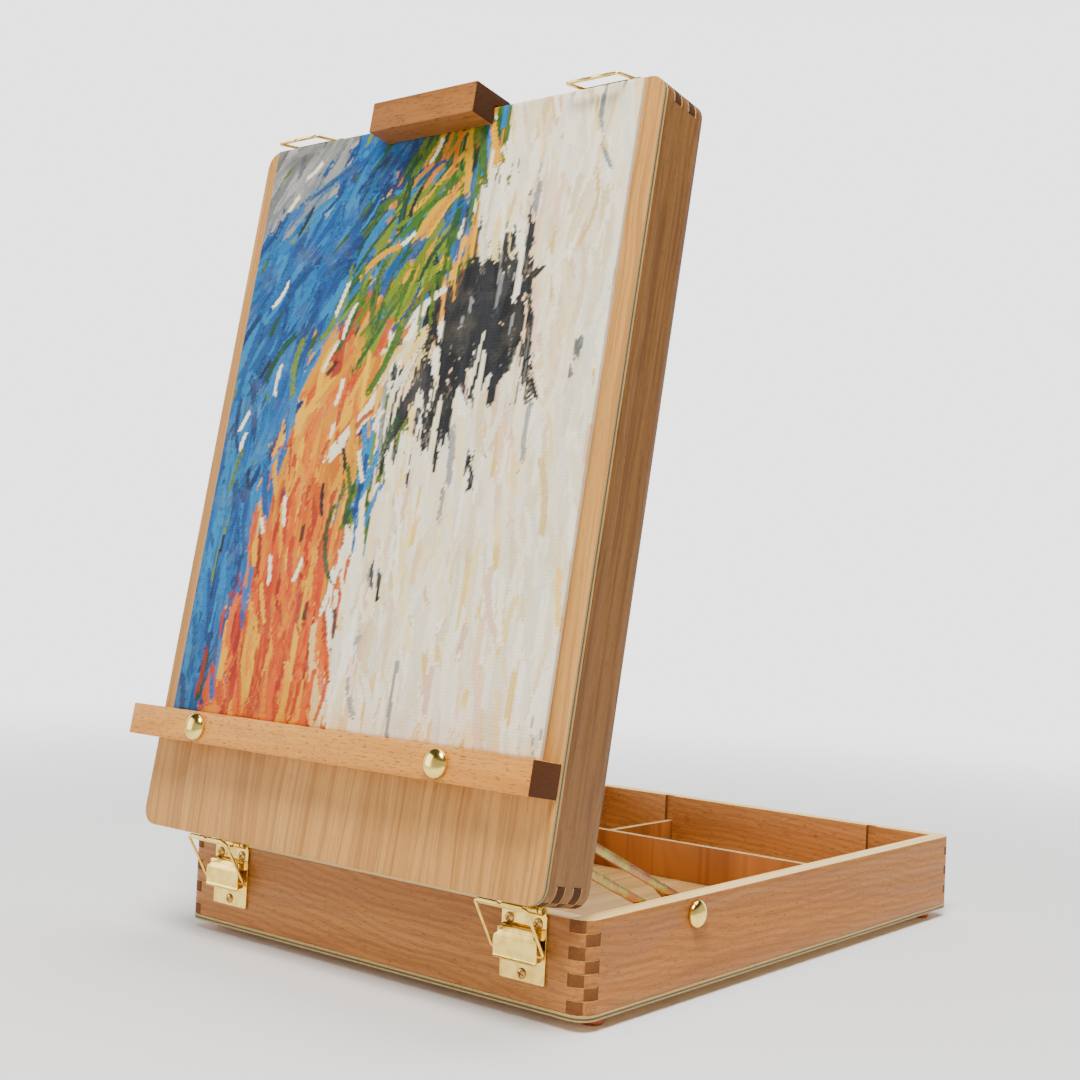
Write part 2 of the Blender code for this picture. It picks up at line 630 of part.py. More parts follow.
def make_stay(name, side, tray):
    """A slotted stay on its bolt, with its rivet, washer and wing nut."""
    hinge = Vector((-HINGE_OUT, TRAY_HEIGHT + HINGE_UP))
    up = STAY_EYE_UP + HINGE_OUT
    back = STAY_EYE_IN - (HINGE_UP - RIM_GAP)
    c, s = math.cos(OPEN_ANGLE), math.sin(OPEN_ANGLE)
    eye = hinge + Vector((up * c - back * s, up * s + back * c))
    bolt = Vector((STAY_BOLT_Y, STAY_BOLT_Z))
    run = bolt - eye
    length = run.length
    slope = math.atan2(run.y, run.x)
    axis = empty(f"stay_{name}_axis", tray, (side * STAY_CENTRE_X, STAY_BOLT_Y, STAY_BOLT_Z), turn_x=slope)

    half = STAY_WIDTH / 2
    arc = 0.999
    slot_end = BOLT_RADIUS + GAP
    stay_end = slot_end - SLOT_RADIUS + half
    thick = STAY_THICKNESS / 2
    plan = rounded(rectangle(-length - half, -half, stay_end, half), half * arc, steps=8)
    stay = piece(f"stay_{name}", prism(plan, -thick, thick, "X"), axis, "zinc")
    slot_start = SLOT_START - SLOT_RADIUS - length
    slot = rounded(rectangle(slot_start, -SLOT_RADIUS, slot_end, SLOT_RADIUS), SLOT_RADIUS * arc, steps=6)
    cut(stay, prism(slot, -STAY_THICKNESS, STAY_THICKNESS, "X"))
    eye_hole = rod(RIVET_RADIUS + GAP, -STAY_THICKNESS, STAY_THICKNESS, "X")
    cut(stay, moved(eye_hole, (0, -length, 0)))

    head = thick + GAP
    rivet = [(0, RIVET_OUT), (RIVET_RADIUS, RIVET_OUT), (RIVET_RADIUS, -head)]
    rivet += [(r, -head - h) for r, h in RIVET_HEAD]
    rivet_shape = turned([(r, side * h) for r, h in rivet], "X", 16)
    piece(f"stay_rivet_{name}", rivet_shape, axis, "brass", (0, -length, 0))

    washer = rectangle(BOLT_HOLE, head, WASHER_RADIUS, head + SHEET)
    piece(f"stay_washer_{name}", turned([(r, -side * h) for r, h in washer], "X", 20), axis, "zinc")

    outward = side * math.pi / 2
    bolt_seat = (side * BOX_WIDTH / 2, STAY_BOLT_Y, STAY_BOLT_Z)
    dome_bolt(f"stay_bolt_{name}", tray, bolt_seat, (0, outward, 0), STAY_BOLT_LENGTH)
    nut_x = STAY_CENTRE_X - head - SHEET - GAP
    nut_seat = (side * nut_x, STAY_BOLT_Y, STAY_BOLT_Z)
    wing_nut(f"stay_wing_nut_{name}", tray, nut_seat, (0, -outward, 0))


# ================================================================ the lid's face and mast
def make_easel_face(lid):
    """Ledge, canvas board and the bolts that hold the ledge."""
    half = BOX_WIDTH / 2
    face = LID_DEPTH + GAP
    ledge_top = LEDGE_LOW + LEDGE_HEIGHT
    ledge_face = LID_DEPTH + LEDGE_OUT
    ledge = piece("ledge", block((-half, LEDGE_LOW, face), (half, ledge_top, ledge_face)), lid, "beech")
    piece("canvas_board",
          block((-CANVAS_HALF, ledge_top + GAP, face), (CANVAS_HALF, CANVAS_TOP, face + CANVAS_THICKNESS)),
          lid, "canvas")
    middle = LEDGE_LOW + LEDGE_HEIGHT / 2
    for name, side in LEFT_AND_RIGHT:
        x = side * LEDGE_BOLT_X
        cut(ledge, moved(rod(BOLT_HOLE, 0, 2 * LID_DEPTH, "Z"), (x, middle, 0)))
        dome_bolt(f"ledge_bolt_{name}", lid, (x, middle, ledge_face), (0, 0, 0), LEDGE_BOLT_LENGTH)
        wing_nut(f"ledge_wing_nut_{name}", lid, (x, middle, LID_DEPTH - PLY - GAP), (math.pi, 0, 0))


def make_mast(lid):
    """The sliding mast, its clamp block, guides, bridge and thumbscrew."""
    inside = LID_DEPTH - PLY - GAP
    mast_low = inside - MAST_THICKNESS
    mast_top = BOX_LENGTH + GAP / 2
    piece("mast", block((-MAST_HALF, MAST_END, mast_low), (MAST_HALF, mast_top, inside)), lid, "beech")

    lip_back = LID_DEPTH + CANVAS_THICKNESS + 3 * GAP
    shelf = BOX_LENGTH + 1.5 * GAP
    block_face = LID_DEPTH + BLOCK_OUT
    section = [(BLOCK_LOW, lip_back), (BLOCK_LOW, block_face), (BLOCK_TOP, block_face),
               (BLOCK_TOP, BLOCK_BACK), (shelf, BLOCK_BACK), (shelf, lip_back)]
    outline = rounded(section, (0, 0, 0, BLOCK_CHAMFER, 0, 0), steps=1)
    piece("clamp_block", prism(outline, -BLOCK_HALF, BLOCK_HALF, "X"), lid, "beech")

    guide_in = MAST_HALF + GAP
    guide_out = guide_in + GUIDE_WIDTH
    guide_low = mast_low - 2 * GAP
    for name, side in LEFT_AND_RIGHT:
        x_low, x_high = sorted((side * guide_in, side * guide_out))
        guide = block((x_low, GUIDE_LOW, guide_low), (x_high, GUIDE_HIGH, inside))
        piece(f"mast_guide_{name}", guide, lid, "beech")
    bridge_top = guide_low - GAP
    bridge_low = bridge_top - BRIDGE_THICKNESS
    span = block((-guide_out, BRIDGE_LOW, bridge_low), (guide_out, BRIDGE_HIGH, bridge_top))
    bridge = piece("mast_bridge", span, lid, "beech")
    middle = (BRIDGE_LOW + BRIDGE_HIGH) / 2
    cut(bridge, moved(rod(BOLT_HOLE, 0, LID_DEPTH, "Z"), (0, middle, 0)))

    stem_end = -BRIDGE_THICKNESS - 2 * GAP
    profile = [(0, stem_end), (BOLT_RADIUS, stem_end), (BOLT_RADIUS, 0), *HUB_SIDE, (0, HUB_HEIGHT)]
    winged("mast_thumbscrew", profile, lid, (0, middle, bridge_low - GAP), (math.pi, 0, 0))


# ================================================================ assembly
def stand_on_origin(root):
    """Move the whole easel so that its box is centred on Z and stands on z = 0."""
    bpy.context.view_layer.update()
    graph = bpy.context.evaluated_depsgraph_get()
    points = []
    for made in bpy.data.objects:
        if made.type == "MESH" and not made.hide_render:
            shown = made.evaluated_get(graph)
            points.extend(made.matrix_world @ vertex.co for vertex in shown.data.vertices)
    centre_y = (min(p.y for p in points) + max(p.y for p in points)) / 2
    root.location.y -= centre_y
    root.location.z -= min(p.z for p in points)


def main():
    for old in list(bpy.data.objects):
        bpy.data.objects.remove(old, do_unlink=True)
    tray = empty("tray_frame", None, (0, 0, 0))
    lid_hinge = empty("lid_hinge_axis", tray, (0, -HINGE_OUT, TRAY_HEIGHT + HINGE_UP), turn_x=OPEN_ANGLE)
    lid = empty("lid_frame", lid_hinge, (0, HINGE_OUT, RIM_GAP - HINGE_UP))
    make_tray(tray)
    make_lid(lid)
    make_hardware(tray, lid)
    for name, side in LEFT_AND_RIGHT:
        make_stay(name, side, tray)
    make_easel_face(lid)
    make_mast(lid)
    stand_on_origin(tray)


main()
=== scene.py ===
"""Looks of a table-top French box easel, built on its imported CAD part.

Each CAD piece is stood for by a piece of the same shape with softened edges,
and the brass hardware and its screws are modelled finely. Lengths are in metres.
"""

import json
import math
import random

import bmesh
import bpy
import numpy as np
from mathutils import Matrix, Vector


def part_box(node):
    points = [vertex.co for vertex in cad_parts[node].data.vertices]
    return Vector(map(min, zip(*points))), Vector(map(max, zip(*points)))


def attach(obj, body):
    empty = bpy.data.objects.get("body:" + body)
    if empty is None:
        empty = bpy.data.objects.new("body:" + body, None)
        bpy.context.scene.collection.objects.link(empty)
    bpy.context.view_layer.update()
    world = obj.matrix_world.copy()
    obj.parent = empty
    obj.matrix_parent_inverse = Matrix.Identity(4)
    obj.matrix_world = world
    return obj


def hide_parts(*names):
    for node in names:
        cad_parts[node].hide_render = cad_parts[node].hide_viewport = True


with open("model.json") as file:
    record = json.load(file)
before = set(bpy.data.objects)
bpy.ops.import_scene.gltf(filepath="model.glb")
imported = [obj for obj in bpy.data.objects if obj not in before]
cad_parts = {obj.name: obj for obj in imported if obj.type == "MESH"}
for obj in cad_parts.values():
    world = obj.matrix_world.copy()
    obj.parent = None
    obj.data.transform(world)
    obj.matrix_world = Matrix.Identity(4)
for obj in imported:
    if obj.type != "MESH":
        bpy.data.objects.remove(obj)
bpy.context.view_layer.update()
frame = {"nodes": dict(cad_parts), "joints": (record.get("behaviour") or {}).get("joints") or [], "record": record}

# ================================================================ frames and sizes
OPEN_ANGLE = math.radians(80.17)
HINGE_OUT, HINGE_UP, RIM_GAP = 0.0032, 0.0019, 0.0004
BOX_HALF, BOX_LENGTH, TRAY_HEIGHT, LID_DEPTH = 0.140, 0.390, 0.046, 0.034
LATCH_X = 0.104
LATCH_HALF = 0.0135
PLATE_FACE, PLATE_BACK = -0.0013, -0.0003
LEVER_PIVOT = Vector((0, -0.0046, 0.036))
BAIL_PIVOT = Vector((0, -0.005, 0.0272))
FRONT_BAIL_LEAN, LID_BAIL_LEAN = 31.0, 194.3
STAY_BOLT_Y, STAY_BOLT_Z = 0.089, 0.0376
STAY_BOLT_LENGTH, STAY_NUT_X = 0.0235, 0.1259
LEDGE_BOLT_X, LEDGE_BOLT_Y = 0.085, 0.0549
LEDGE_BOLT_LENGTH, LEDGE_OUT = 0.0375, 0.0204
LID_NUT_SEAT = 0.0307
THUMBSCREW_Y, THUMBSCREW_Z = 0.304, 0.0155
FOOT_X, FOOT_FRONT_Y, FOOT_REAR_Y = 0.129, 0.021, 0.369
FOOT_GAP = 0.0003
FLOOR_RADIUS = 1.6
RING_SPACING = 0.0042
THREAD_SCALE = 190.0
CAMERA_AT = (0.55391, -0.73155, 0.20485)
CAMERA_AZIMUTH, CAMERA_ELEVATION, CAMERA_ROLL = 38.97, -1.43, 2.66

joints = {joint["name"]: joint for joint in frame["joints"]}
base_low, base_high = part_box("tray_base")
TRAY = Matrix.Translation((0, base_low.y, base_low.z))
hinge = Vector(joints["lid_tilt"]["pos_m"])
LID = (
    Matrix.Translation(hinge)
    @ Matrix.Rotation(OPEN_ANGLE, 4, "X")
    @ Matrix.Translation((0, HINGE_OUT, RIM_GAP - HINGE_UP))
)
BODY_OF = {node: body for body, nodes in frame["record"]["behaviour"]["bodies"].items() for node in nodes}


# ================================================================ node trees
def add(tree, kind, inputs=None, **settings):
    """A node with its settings, and its sockets linked or set."""
    made = tree.nodes.new(kind)
    for name, value in settings.items():
        setattr(made, name, value)
    for name, value in (inputs or {}).items():
        if isinstance(value, bpy.types.NodeSocket):
            tree.links.new(value, made.inputs[name])
        else:
            made.inputs[name].default_value = value
    return made


def maths(tree, operation, a, b=0.0, clamp=False):
    return add(tree, "ShaderNodeMath", {0: a, 1: b}, operation=operation, use_clamp=clamp).outputs[0]


def scaled(tree, value, scale, shift):
    return add(tree, "ShaderNodeMath", {0: value, 1: scale, 2: shift}, operation="MULTIPLY_ADD").outputs[0]


def stretched(tree, vector, scale, offset=(0, 0, 0)):
    made = add(tree, "ShaderNodeMapping", {"Vector": vector, "Scale": scale, "Location": offset})
    return made.outputs[0]


def noise(tree, vector, scale, detail=3.0, rough=0.5, distortion=0.0):
    inputs = {"Vector": vector, "Scale": scale, "Detail": detail, "Roughness": rough, "Distortion": distortion}
    return add(tree, "ShaderNodeTexNoise", inputs).outputs["Fac"]


def ramp(tree, factor, stops, interpolation="LINEAR"):
    """A colour ramp; each stop is a place and a grey level or colour."""
    made = add(tree, "ShaderNodeValToRGB", {"Fac": factor})
    made.color_ramp.interpolation = interpolation
    elements = made.color_ramp.elements
    while len(elements) < len(stops):
        elements.new(0.5)
    for element, (place, colour) in zip(elements, stops):
        element.position = place
        element.color = (*colour, 1) if hasattr(colour, "__len__") else (colour, colour, colour, 1)
    return made.outputs["Color"]


def mix(tree, factor, a, b, blend="MIX"):
    made = add(tree, "ShaderNodeMix", data_type="RGBA", blend_type=blend)
    for socket, value in ((made.inputs[0], factor), (made.inputs[6], a), (made.inputs[7], b)):
        if isinstance(value, bpy.types.NodeSocket):
            tree.links.new(value, socket)
        else:
            socket.default_value = (*value, 1) if hasattr(value, "__len__") else value
    return made.outputs[2]


def bump(tree, height, strength, distance, normal=None):
    inputs = {"Height": height, "Strength": strength, "Distance": distance}
    if normal:
        inputs["Normal"] = normal
    return add(tree, "ShaderNodeBump", inputs).outputs["Normal"]


def attribute(tree, name, output="Vector"):
    return add(tree, "ShaderNodeAttribute", attribute_name=name).outputs[output]


def new_material(name):
    """A material with its tree and its shader."""
    made = bpy.data.materials.new(name)
    made.use_nodes = True
    return made, made.node_tree, made.node_tree.nodes["Principled BSDF"]


def srgb(red, green, blue):
    """An 8-bit screen colour as a linear one."""
    shares = (red / 255, green / 255, blue / 255)
    return tuple(((v + 0.055) / 1.055) ** 2.4 if v > 0.04045 else v / 12.92 for v in shares)


# ================================================================ materials
def growth_rings(tree, grain):
    """Dark arcs where the face cuts slantwise through rings about a pith below it."""
    bent = noise(tree, stretched(tree, grain, (14, 40, 40), (4.0, 9.0, 2.0)), 1.0, 2.0)
    part = add(tree, "ShaderNodeSeparateXYZ", {"Vector": attribute(tree, "rings")})
    deep = maths(tree, "ADD", maths(tree, "MULTIPLY", part.outputs[0], 0.09), part.outputs[2])
    deep = maths(tree, "ADD", deep, maths(tree, "MULTIPLY", bent, 0.016))
    radius = maths(tree, "SQRT", maths(tree, "ADD", maths(tree, "MULTIPLY", deep, deep),
                                       maths(tree, "MULTIPLY", part.outputs[1], part.outputs[1])))
    swing = maths(tree, "SINE", maths(tree, "MULTIPLY", radius, 2 * math.pi / RING_SPACING))
    return ramp(tree, swing, ((0.10, 0.0), (0.85, 1.0), (1.0, 0.35)))


def wood(name, light, middle, dark, fleck, end, waves=0.55, flecks=0.5, arc=0.35, rim=None):
    """Oiled timber whose grain runs along the first grain coordinate."""
    made, tree, shader = new_material(name)
    grain = attribute(tree, "grain")
    cut = attribute(tree, "cut", "Fac")
    warp = noise(tree, stretched(tree, grain, (9, 26, 26)), 1.0, 2.0)
    shifted = add(tree, "ShaderNodeVectorMath", {0: grain, 1: add(tree, "ShaderNodeCombineXYZ", {
        "Y": maths(tree, "MULTIPLY", warp, 0.012), "Z": maths(tree, "MULTIPLY", warp, 0.010)}).outputs[0]},
        operation="ADD").outputs[0]
    broad = noise(tree, stretched(tree, shifted, (3.0, 60, 60)), 1.0, 4.0, 0.55)
    lines = noise(tree, stretched(tree, shifted, (5.0, 420, 420)), 1.0, 3.0, 0.6)
    fine = noise(tree, stretched(tree, grain, (60, 1900, 1900)), 1.0, 2.0)
    colour = mix(tree, ramp(tree, broad, ((0.34, 0.0), (0.66, 1.0))), middle, light)
    shade = ramp(tree, lines, ((0.36, 1.0), (0.55, 0.0)))
    colour = mix(tree, maths(tree, "MULTIPLY", shade, waves), colour, dark)
    colour = mix(tree, maths(tree, "MULTIPLY", growth_rings(tree, grain), arc), colour, dark)
    dashes = noise(tree, stretched(tree, grain, (230, 1500, 1500), (3.1, 1.7, 0.4)), 1.0, 1.0)
    spots = ramp(tree, dashes, ((0.60, 0.0), (0.69, 1.0)))
    colour = mix(tree, maths(tree, "MULTIPLY", spots, flecks), colour, fleck)
    colour = mix(tree, maths(tree, "MULTIPLY", fine, 0.35), colour, middle)
    pores = noise(tree, stretched(tree, grain, (900, 1500, 1500)), 1.0, 2.0, 0.7)
    rings = noise(tree, stretched(tree, grain, (8, 330, 90), (2.0, 5.0, 1.0)), 1.0, 3.0, 0.6)
    end_colour = mix(tree, ramp(tree, pores, ((0.35, 0.0), (0.62, 1.0))), tuple(c * 0.55 for c in end), end)
    end_colour = mix(tree, maths(tree, "MULTIPLY", rings, 0.5), end_colour, tuple(c * 0.6 for c in end))
    # Rims, the faces across the part's z, are mixed toward the pale rim colour: partly paler sanded wood, partly a
    # painted highlight where the light from above falls on the top edges.
    if rim:
        sanded_and_lit_rim = mix(tree, maths(tree, "MULTIPLY", shade, 0.4), rim, light)
        colour = mix(tree, attribute(tree, "rim", "Fac"), colour, sanded_and_lit_rim)
    colour = mix(tree, cut, colour, end_colour)
    tree.links.new(colour, shader.inputs["Base Color"])
    rough = maths(tree, "ADD", scaled(tree, lines, 0.18, 0.40), maths(tree, "MULTIPLY", cut, 0.35), True)
    tree.links.new(rough, shader.inputs["Roughness"])
    height = maths(tree, "SUBTRACT", maths(tree, "MULTIPLY", lines, 0.6), maths(tree, "MULTIPLY", spots, 0.5))
    height = maths(tree, "ADD", height, maths(tree, "MULTIPLY", pores, 0.2))
    tree.links.new(bump(tree, height, 0.35, 0.00012), shader.inputs["Normal"])
    shader.inputs["Specular IOR Level"].default_value = 0.22
    return made


def ply(name, light, middle, dark, edge_pale, edge_dark):
    """Thin plywood: figured faces, and veneers that show on the cut edges."""
    made, tree, shader = new_material(name)
    grain = attribute(tree, "grain")
    cut = attribute(tree, "cut", "Fac")
    warp = noise(tree, stretched(tree, grain, (6, 14, 1)), 1.0, 2.0)
    shifted = add(tree, "ShaderNodeVectorMath", {0: grain, 1: add(tree, "ShaderNodeCombineXYZ", {
        "Y": maths(tree, "MULTIPLY", warp, 0.020)}).outputs[0]}, operation="ADD").outputs[0]
    figure = noise(tree, stretched(tree, shifted, (2.4, 75, 1)), 1.0, 5.0, 0.6)
    lines = noise(tree, stretched(tree, shifted, (7, 520, 1)), 1.0, 3.0, 0.6)
    colour = mix(tree, ramp(tree, figure, ((0.36, 0.0), (0.64, 1.0))), middle, light)
    shade = ramp(tree, lines, ((0.38, 1.0), (0.56, 0.0)))
    colour = mix(tree, maths(tree, "MULTIPLY", shade, 0.5), colour, dark)
    pores = noise(tree, stretched(tree, grain, (140, 2200, 1)), 1.0, 1.0)
    spots = ramp(tree, pores, ((0.62, 0.0), (0.72, 1.0)))
    colour = mix(tree, maths(tree, "MULTIPLY", spots, 0.4), colour, dark)
    depth = add(tree, "ShaderNodeSeparateXYZ", {"Vector": attribute(tree, "depth")}).outputs[0]
    veneer = ramp(tree, depth, ((0.0, edge_pale), (0.30, edge_dark), (0.62, edge_pale)), "CONSTANT")
    fibres = noise(tree, stretched(tree, attribute(tree, "world"), (400, 400, 2600)), 1.0, 3.0, 0.6)
    veneer = mix(tree, ramp(tree, fibres, ((0.4, 0.0), (0.7, 0.55))), veneer, edge_dark)
    colour = mix(tree, cut, colour, veneer)
    tree.links.new(colour, shader.inputs["Base Color"])
    tree.links.new(scaled(tree, lines, 0.15, 0.45), shader.inputs["Roughness"])
    height = maths(tree, "SUBTRACT", maths(tree, "MULTIPLY", lines, 0.5), maths(tree, "MULTIPLY", spots, 0.5))
    tree.links.new(bump(tree, height, 0.3, 0.0001), shader.inputs["Normal"])
    shader.inputs["Specular IOR Level"].default_value = 0.2
    return made


def metal(name, bright, deep, roughness, brushed, tint=None):
    """Plated or solid metal with smudges, fine scratches and a little tarnish."""
    made, tree, shader = new_material(name)
    place = attribute(tree, "world")
    tarnish = noise(tree, stretched(tree, place, (160, 160, 160)), 1.0, 4.0, 0.6)
    smudge = noise(tree, stretched(tree, place, (420, 420, 420), (1, 2, 3)), 1.0, 3.0, 0.55)
    scratch = noise(tree, stretched(tree, place, brushed), 1.0, 2.0, 0.6)
    colour = mix(tree, ramp(tree, tarnish, ((0.40, 0.0), (0.70, 1.0))), bright, deep)
    if tint:
        film = noise(tree, stretched(tree, place, (70, 70, 70), (7, 1, 4)), 1.0, 3.0, 0.5)
        colour = mix(tree, ramp(tree, film, ((0.45, 0.0), (0.62, 1.0))), colour, tint)
    tree.links.new(colour, shader.inputs["Base Color"])
    tree.links.new(scaled(tree, smudge, 0.22, roughness - 0.08), shader.inputs["Roughness"])
    tree.links.new(bump(tree, scratch, 0.12, 0.00003), shader.inputs["Normal"])
    shader.inputs["Metallic"].default_value = 1.0
    return made


def moulded(name, colour, worn):
    """Moulded plastic with a grained skin and scuffs."""
    made, tree, shader = new_material(name)
    place = attribute(tree, "world")
    skin = noise(tree, stretched(tree, place, (2600, 2600, 2600)), 1.0, 2.0)
    scuff = noise(tree, stretched(tree, place, (300, 300, 500)), 1.0, 4.0, 0.6)
    scuffed = mix(tree, ramp(tree, scuff, ((0.5, 0.0), (0.72, 1.0))), colour, worn)
    tree.links.new(scuffed, shader.inputs["Base Color"])
    tree.links.new(bump(tree, skin, 0.25, 0.00005), shader.inputs["Normal"])
    shader.inputs["Roughness"].default_value = 0.5
    return made


def painted():
    """Oil paint over a woven canvas; the colours come from the strokes."""
    made, tree, shader = new_material("painted_canvas")
    grain = attribute(tree, "grain")
    paint = attribute(tree, "paint", "Color")
    thread = {"Vector": grain, "Scale": THREAD_SCALE, "Distortion": 0.6, "Detail": 1.0}
    bands = [add(tree, "ShaderNodeTexWave", thread, wave_type="BANDS", bands_direction=way) for way in "XY"]
    weave = maths(tree, "MAXIMUM", bands[0].outputs["Fac"], bands[1].outputs["Fac"])
    bristle = attribute(tree, "bristle", "Fac")
    hairs = noise(tree, stretched(tree, grain, (1500, 260, 1)), 1.0, 2.0, 0.6)
    mottle = noise(tree, stretched(tree, grain, (55, 55, 1)), 1.0, 5.0, 0.6)
    colour = mix(tree, maths(tree, "MULTIPLY", hairs, 0.16), paint, (0.06, 0.05, 0.04))
    colour = mix(tree, ramp(tree, mottle, ((0.50, 0.0), (0.8, 0.06))), colour, (0.93, 0.80, 0.55))
    colour = mix(tree, ramp(tree, weave, ((0.0, 0.22), (0.45, 0.0))), colour, (0.10, 0.08, 0.06))
    tree.links.new(colour, shader.inputs["Base Color"])
    first = bump(tree, weave, 0.45, 0.00016)
    height = maths(tree, "ADD", maths(tree, "MULTIPLY", hairs, 0.4), bristle)
    tree.links.new(bump(tree, height, 0.6, 0.0003, first), shader.inputs["Normal"])
    tree.links.new(scaled(tree, mottle, 0.25, 0.50), shader.inputs["Roughness"])
    shader.inputs["Specular IOR Level"].default_value = 0.2
    return made


def floor_material():
    """Pale and plain near the easel, and gone into the backdrop farther out."""
    made, tree, shader = new_material("pale_floor")
    place = add(tree, "ShaderNodeTexCoord").outputs["Object"]
    cloud = noise(tree, place, 3.0, 3.0)
    tree.links.new(mix(tree, cloud, (0.86, 0.86, 0.86), (0.88, 0.88, 0.88)), shader.inputs["Base Color"])
    shader.inputs["Roughness"].default_value = 0.8
    shader.inputs["Specular IOR Level"].default_value = 0.1
    away = add(tree, "ShaderNodeVectorMath", {0: place}, operation="LENGTH").outputs["Value"]
    solid = ramp(tree, maths(tree, "MULTIPLY", away, 1 / FLOOR_RADIUS), ((0.20, 1.0), (0.92, 0.0)), "EASE")
    tree.links.new(solid, shader.inputs["Alpha"])
    return made


MATERIALS = {
    # The rim colours are partly a painted highlight on the top edges of the walls.
    "beech": wood("beech", srgb(190, 128, 64), srgb(170, 108, 51), srgb(122, 70, 31), srgb(92, 50, 22),
                  srgb(128, 78, 38), 0.42, 0.6, 0.5, rim=srgb(240, 206, 128)),
    # The lid's beech is darker than the tray's: partly browner wood, partly painted shade on the lid's side.
    "beech_lid": wood("beech_lid", srgb(142, 98, 48), srgb(124, 82, 38), srgb(88, 52, 22), srgb(70, 40, 17),
                      srgb(84, 47, 20), 0.7, 0.5, 0.2, rim=srgb(222, 186, 118)),
    "beech_clamp": wood("beech_clamp", srgb(160, 104, 50), srgb(140, 86, 39), srgb(98, 56, 24),
                        srgb(76, 42, 18), srgb(78, 44, 19), 0.4, 0.8, 0.2),
    # The block beech is paler than the tray's: painted light for the ledge's face, which tilts up into the light
    # from above.
    "beech_block_lit": wood("beech_block_lit", srgb(224, 156, 68), srgb(204, 134, 53), srgb(156, 94, 36),
                        srgb(110, 62, 26), srgb(92, 50, 18), 0.35, 0.9, 0.15),
    "plywood": ply("plywood", srgb(206, 152, 80), srgb(188, 134, 66), srgb(138, 86, 38), srgb(176, 152, 100),
                   srgb(92, 70, 38)),
    "pale_ply": ply("pale_ply", srgb(222, 176, 104), srgb(204, 156, 86), srgb(158, 108, 54),
                    srgb(184, 162, 108), srgb(96, 74, 42)),
    "divider_ply": ply("divider_ply", srgb(182, 112, 50), srgb(158, 90, 38), srgb(96, 48, 18),
                       srgb(236, 208, 146), srgb(166, 128, 72)),
    "brass": metal("brass", (0.96, 0.72, 0.19), (0.74, 0.47, 0.09), 0.15, (300, 2600, 2600)),
    "screw_brass": metal("screw_brass", (0.62, 0.39, 0.12), (0.36, 0.20, 0.06), 0.24, (2600, 300, 2600)),
    "zinc": metal("zinc", (0.46, 0.37, 0.10), (0.22, 0.16, 0.04), 0.26, (2600, 300, 300), (0.40, 0.17, 0.08)),
    "foot_plastic": moulded("foot_plastic", srgb(164, 78, 38), srgb(184, 108, 64)),
    "canvas": painted(),
}


# ================================================================ shapes
def on_axis(axis):
    """A function that puts (u, v) across the named axis and w along it."""
    return {
        "X": lambda u, v, w: (w, u, v),
        "Y": lambda u, v, w: (u, w, v),
        "Z": lambda u, v, w: (u, v, w),
    }[axis]


def prism(shape, outline, low, high, axis):
    place = on_axis(axis)
    lower = [shape.verts.new(place(u, v, low)) for u, v in outline]
    upper = [shape.verts.new(place(u, v, high)) for u, v in outline]
    shape.faces.new(lower)
    shape.faces.new(upper)
    for i, corner in enumerate(lower):
        j = (i + 1) % len(lower)
        shape.faces.new((corner, lower[j], upper[j], upper[i]))


def turned(shape, profile, axis="Z", sides=40, centre=(0, 0, 0)):
    """A profile of (radius, height) points turned about an axis, ring or solid."""
    place = on_axis(axis)
    centre = Vector(centre)
    rings = []
    for radius, height in profile:
        count = sides if radius else 1
        angles = [2 * math.pi * k / count for k in range(count)]
        spots = [place(radius * math.cos(a), radius * math.sin(a), height) for a in angles]
        rings.append([shape.verts.new(centre + Vector(spot)) for spot in spots])
    pairs = list(zip(rings, rings[1:]))
    if profile[0][0]:
        pairs.append((rings[-1], rings[0]))
    for first, second in pairs:
        for k in range(sides):
            corners = (first[k % len(first)], first[(k + 1) % len(first)],
                       second[(k + 1) % len(second)], second[k % len(second)])
            shape.faces.new(list(dict.fromkeys(corners)))


def rounded(points, radii, steps=5):
    """The points of a closed flat path with an arc at each corner."""
    corners = [Vector(p) for p in points]
    if not hasattr(radii, "__len__"):
        radii = [radii] * len(corners)
    path = []
    for i, corner in enumerate(corners):
        if radii[i] == 0:
            path.append(tuple(corner))
            continue
        back = (corners[i - 1] - corner).normalized()
        ahead = (corners[(i + 1) % len(corners)] - corner).normalized()
        half = back.angle(ahead) / 2
        centre = corner + (back + ahead).normalized() * radii[i] / math.sin(half)
        first = corner + back * radii[i] / math.tan(half) - centre
        last = corner + ahead * radii[i] / math.tan(half) - centre
        sweep = first.angle_signed(last)
        for k in range(steps + 1):
            angle = -sweep * k / steps
            c, s = math.cos(angle), math.sin(angle)
            path.append((centre.x + first.x * c - first.y * s, centre.y + first.x * s + first.y * c))
    return path


def tube(shape, points, radius, sides=14):
    """A round wire along a smooth path in the XZ plane."""
    path = [Vector(p) for p in points]
    rings = []
    for i, at in enumerate(path):
        before = (at - path[i - 1]).normalized() if i else None
        after = (path[i + 1] - at).normalized() if i + 1 < len(path) else None
        along = ((before or after) + (after or before)).normalized()
        across = Vector((-along.y, along.x))
        stretch = 1 / along.dot(after or before)
        ring = []
        for k in range(sides):
            angle = 2 * math.pi * k / sides
            side = across * (radius * stretch * math.cos(angle))
            ring.append(shape.verts.new((at.x + side.x, radius * math.sin(angle), at.y + side.y)))
        rings.append(ring)
    for first, second in zip(rings, rings[1:]):
        for k in range(sides):
            j = (k + 1) % sides
            shape.faces.new((first[k], first[j], second[j], second[k]))
    shape.faces.new(rings[0])
    shape.faces.new(rings[-1])


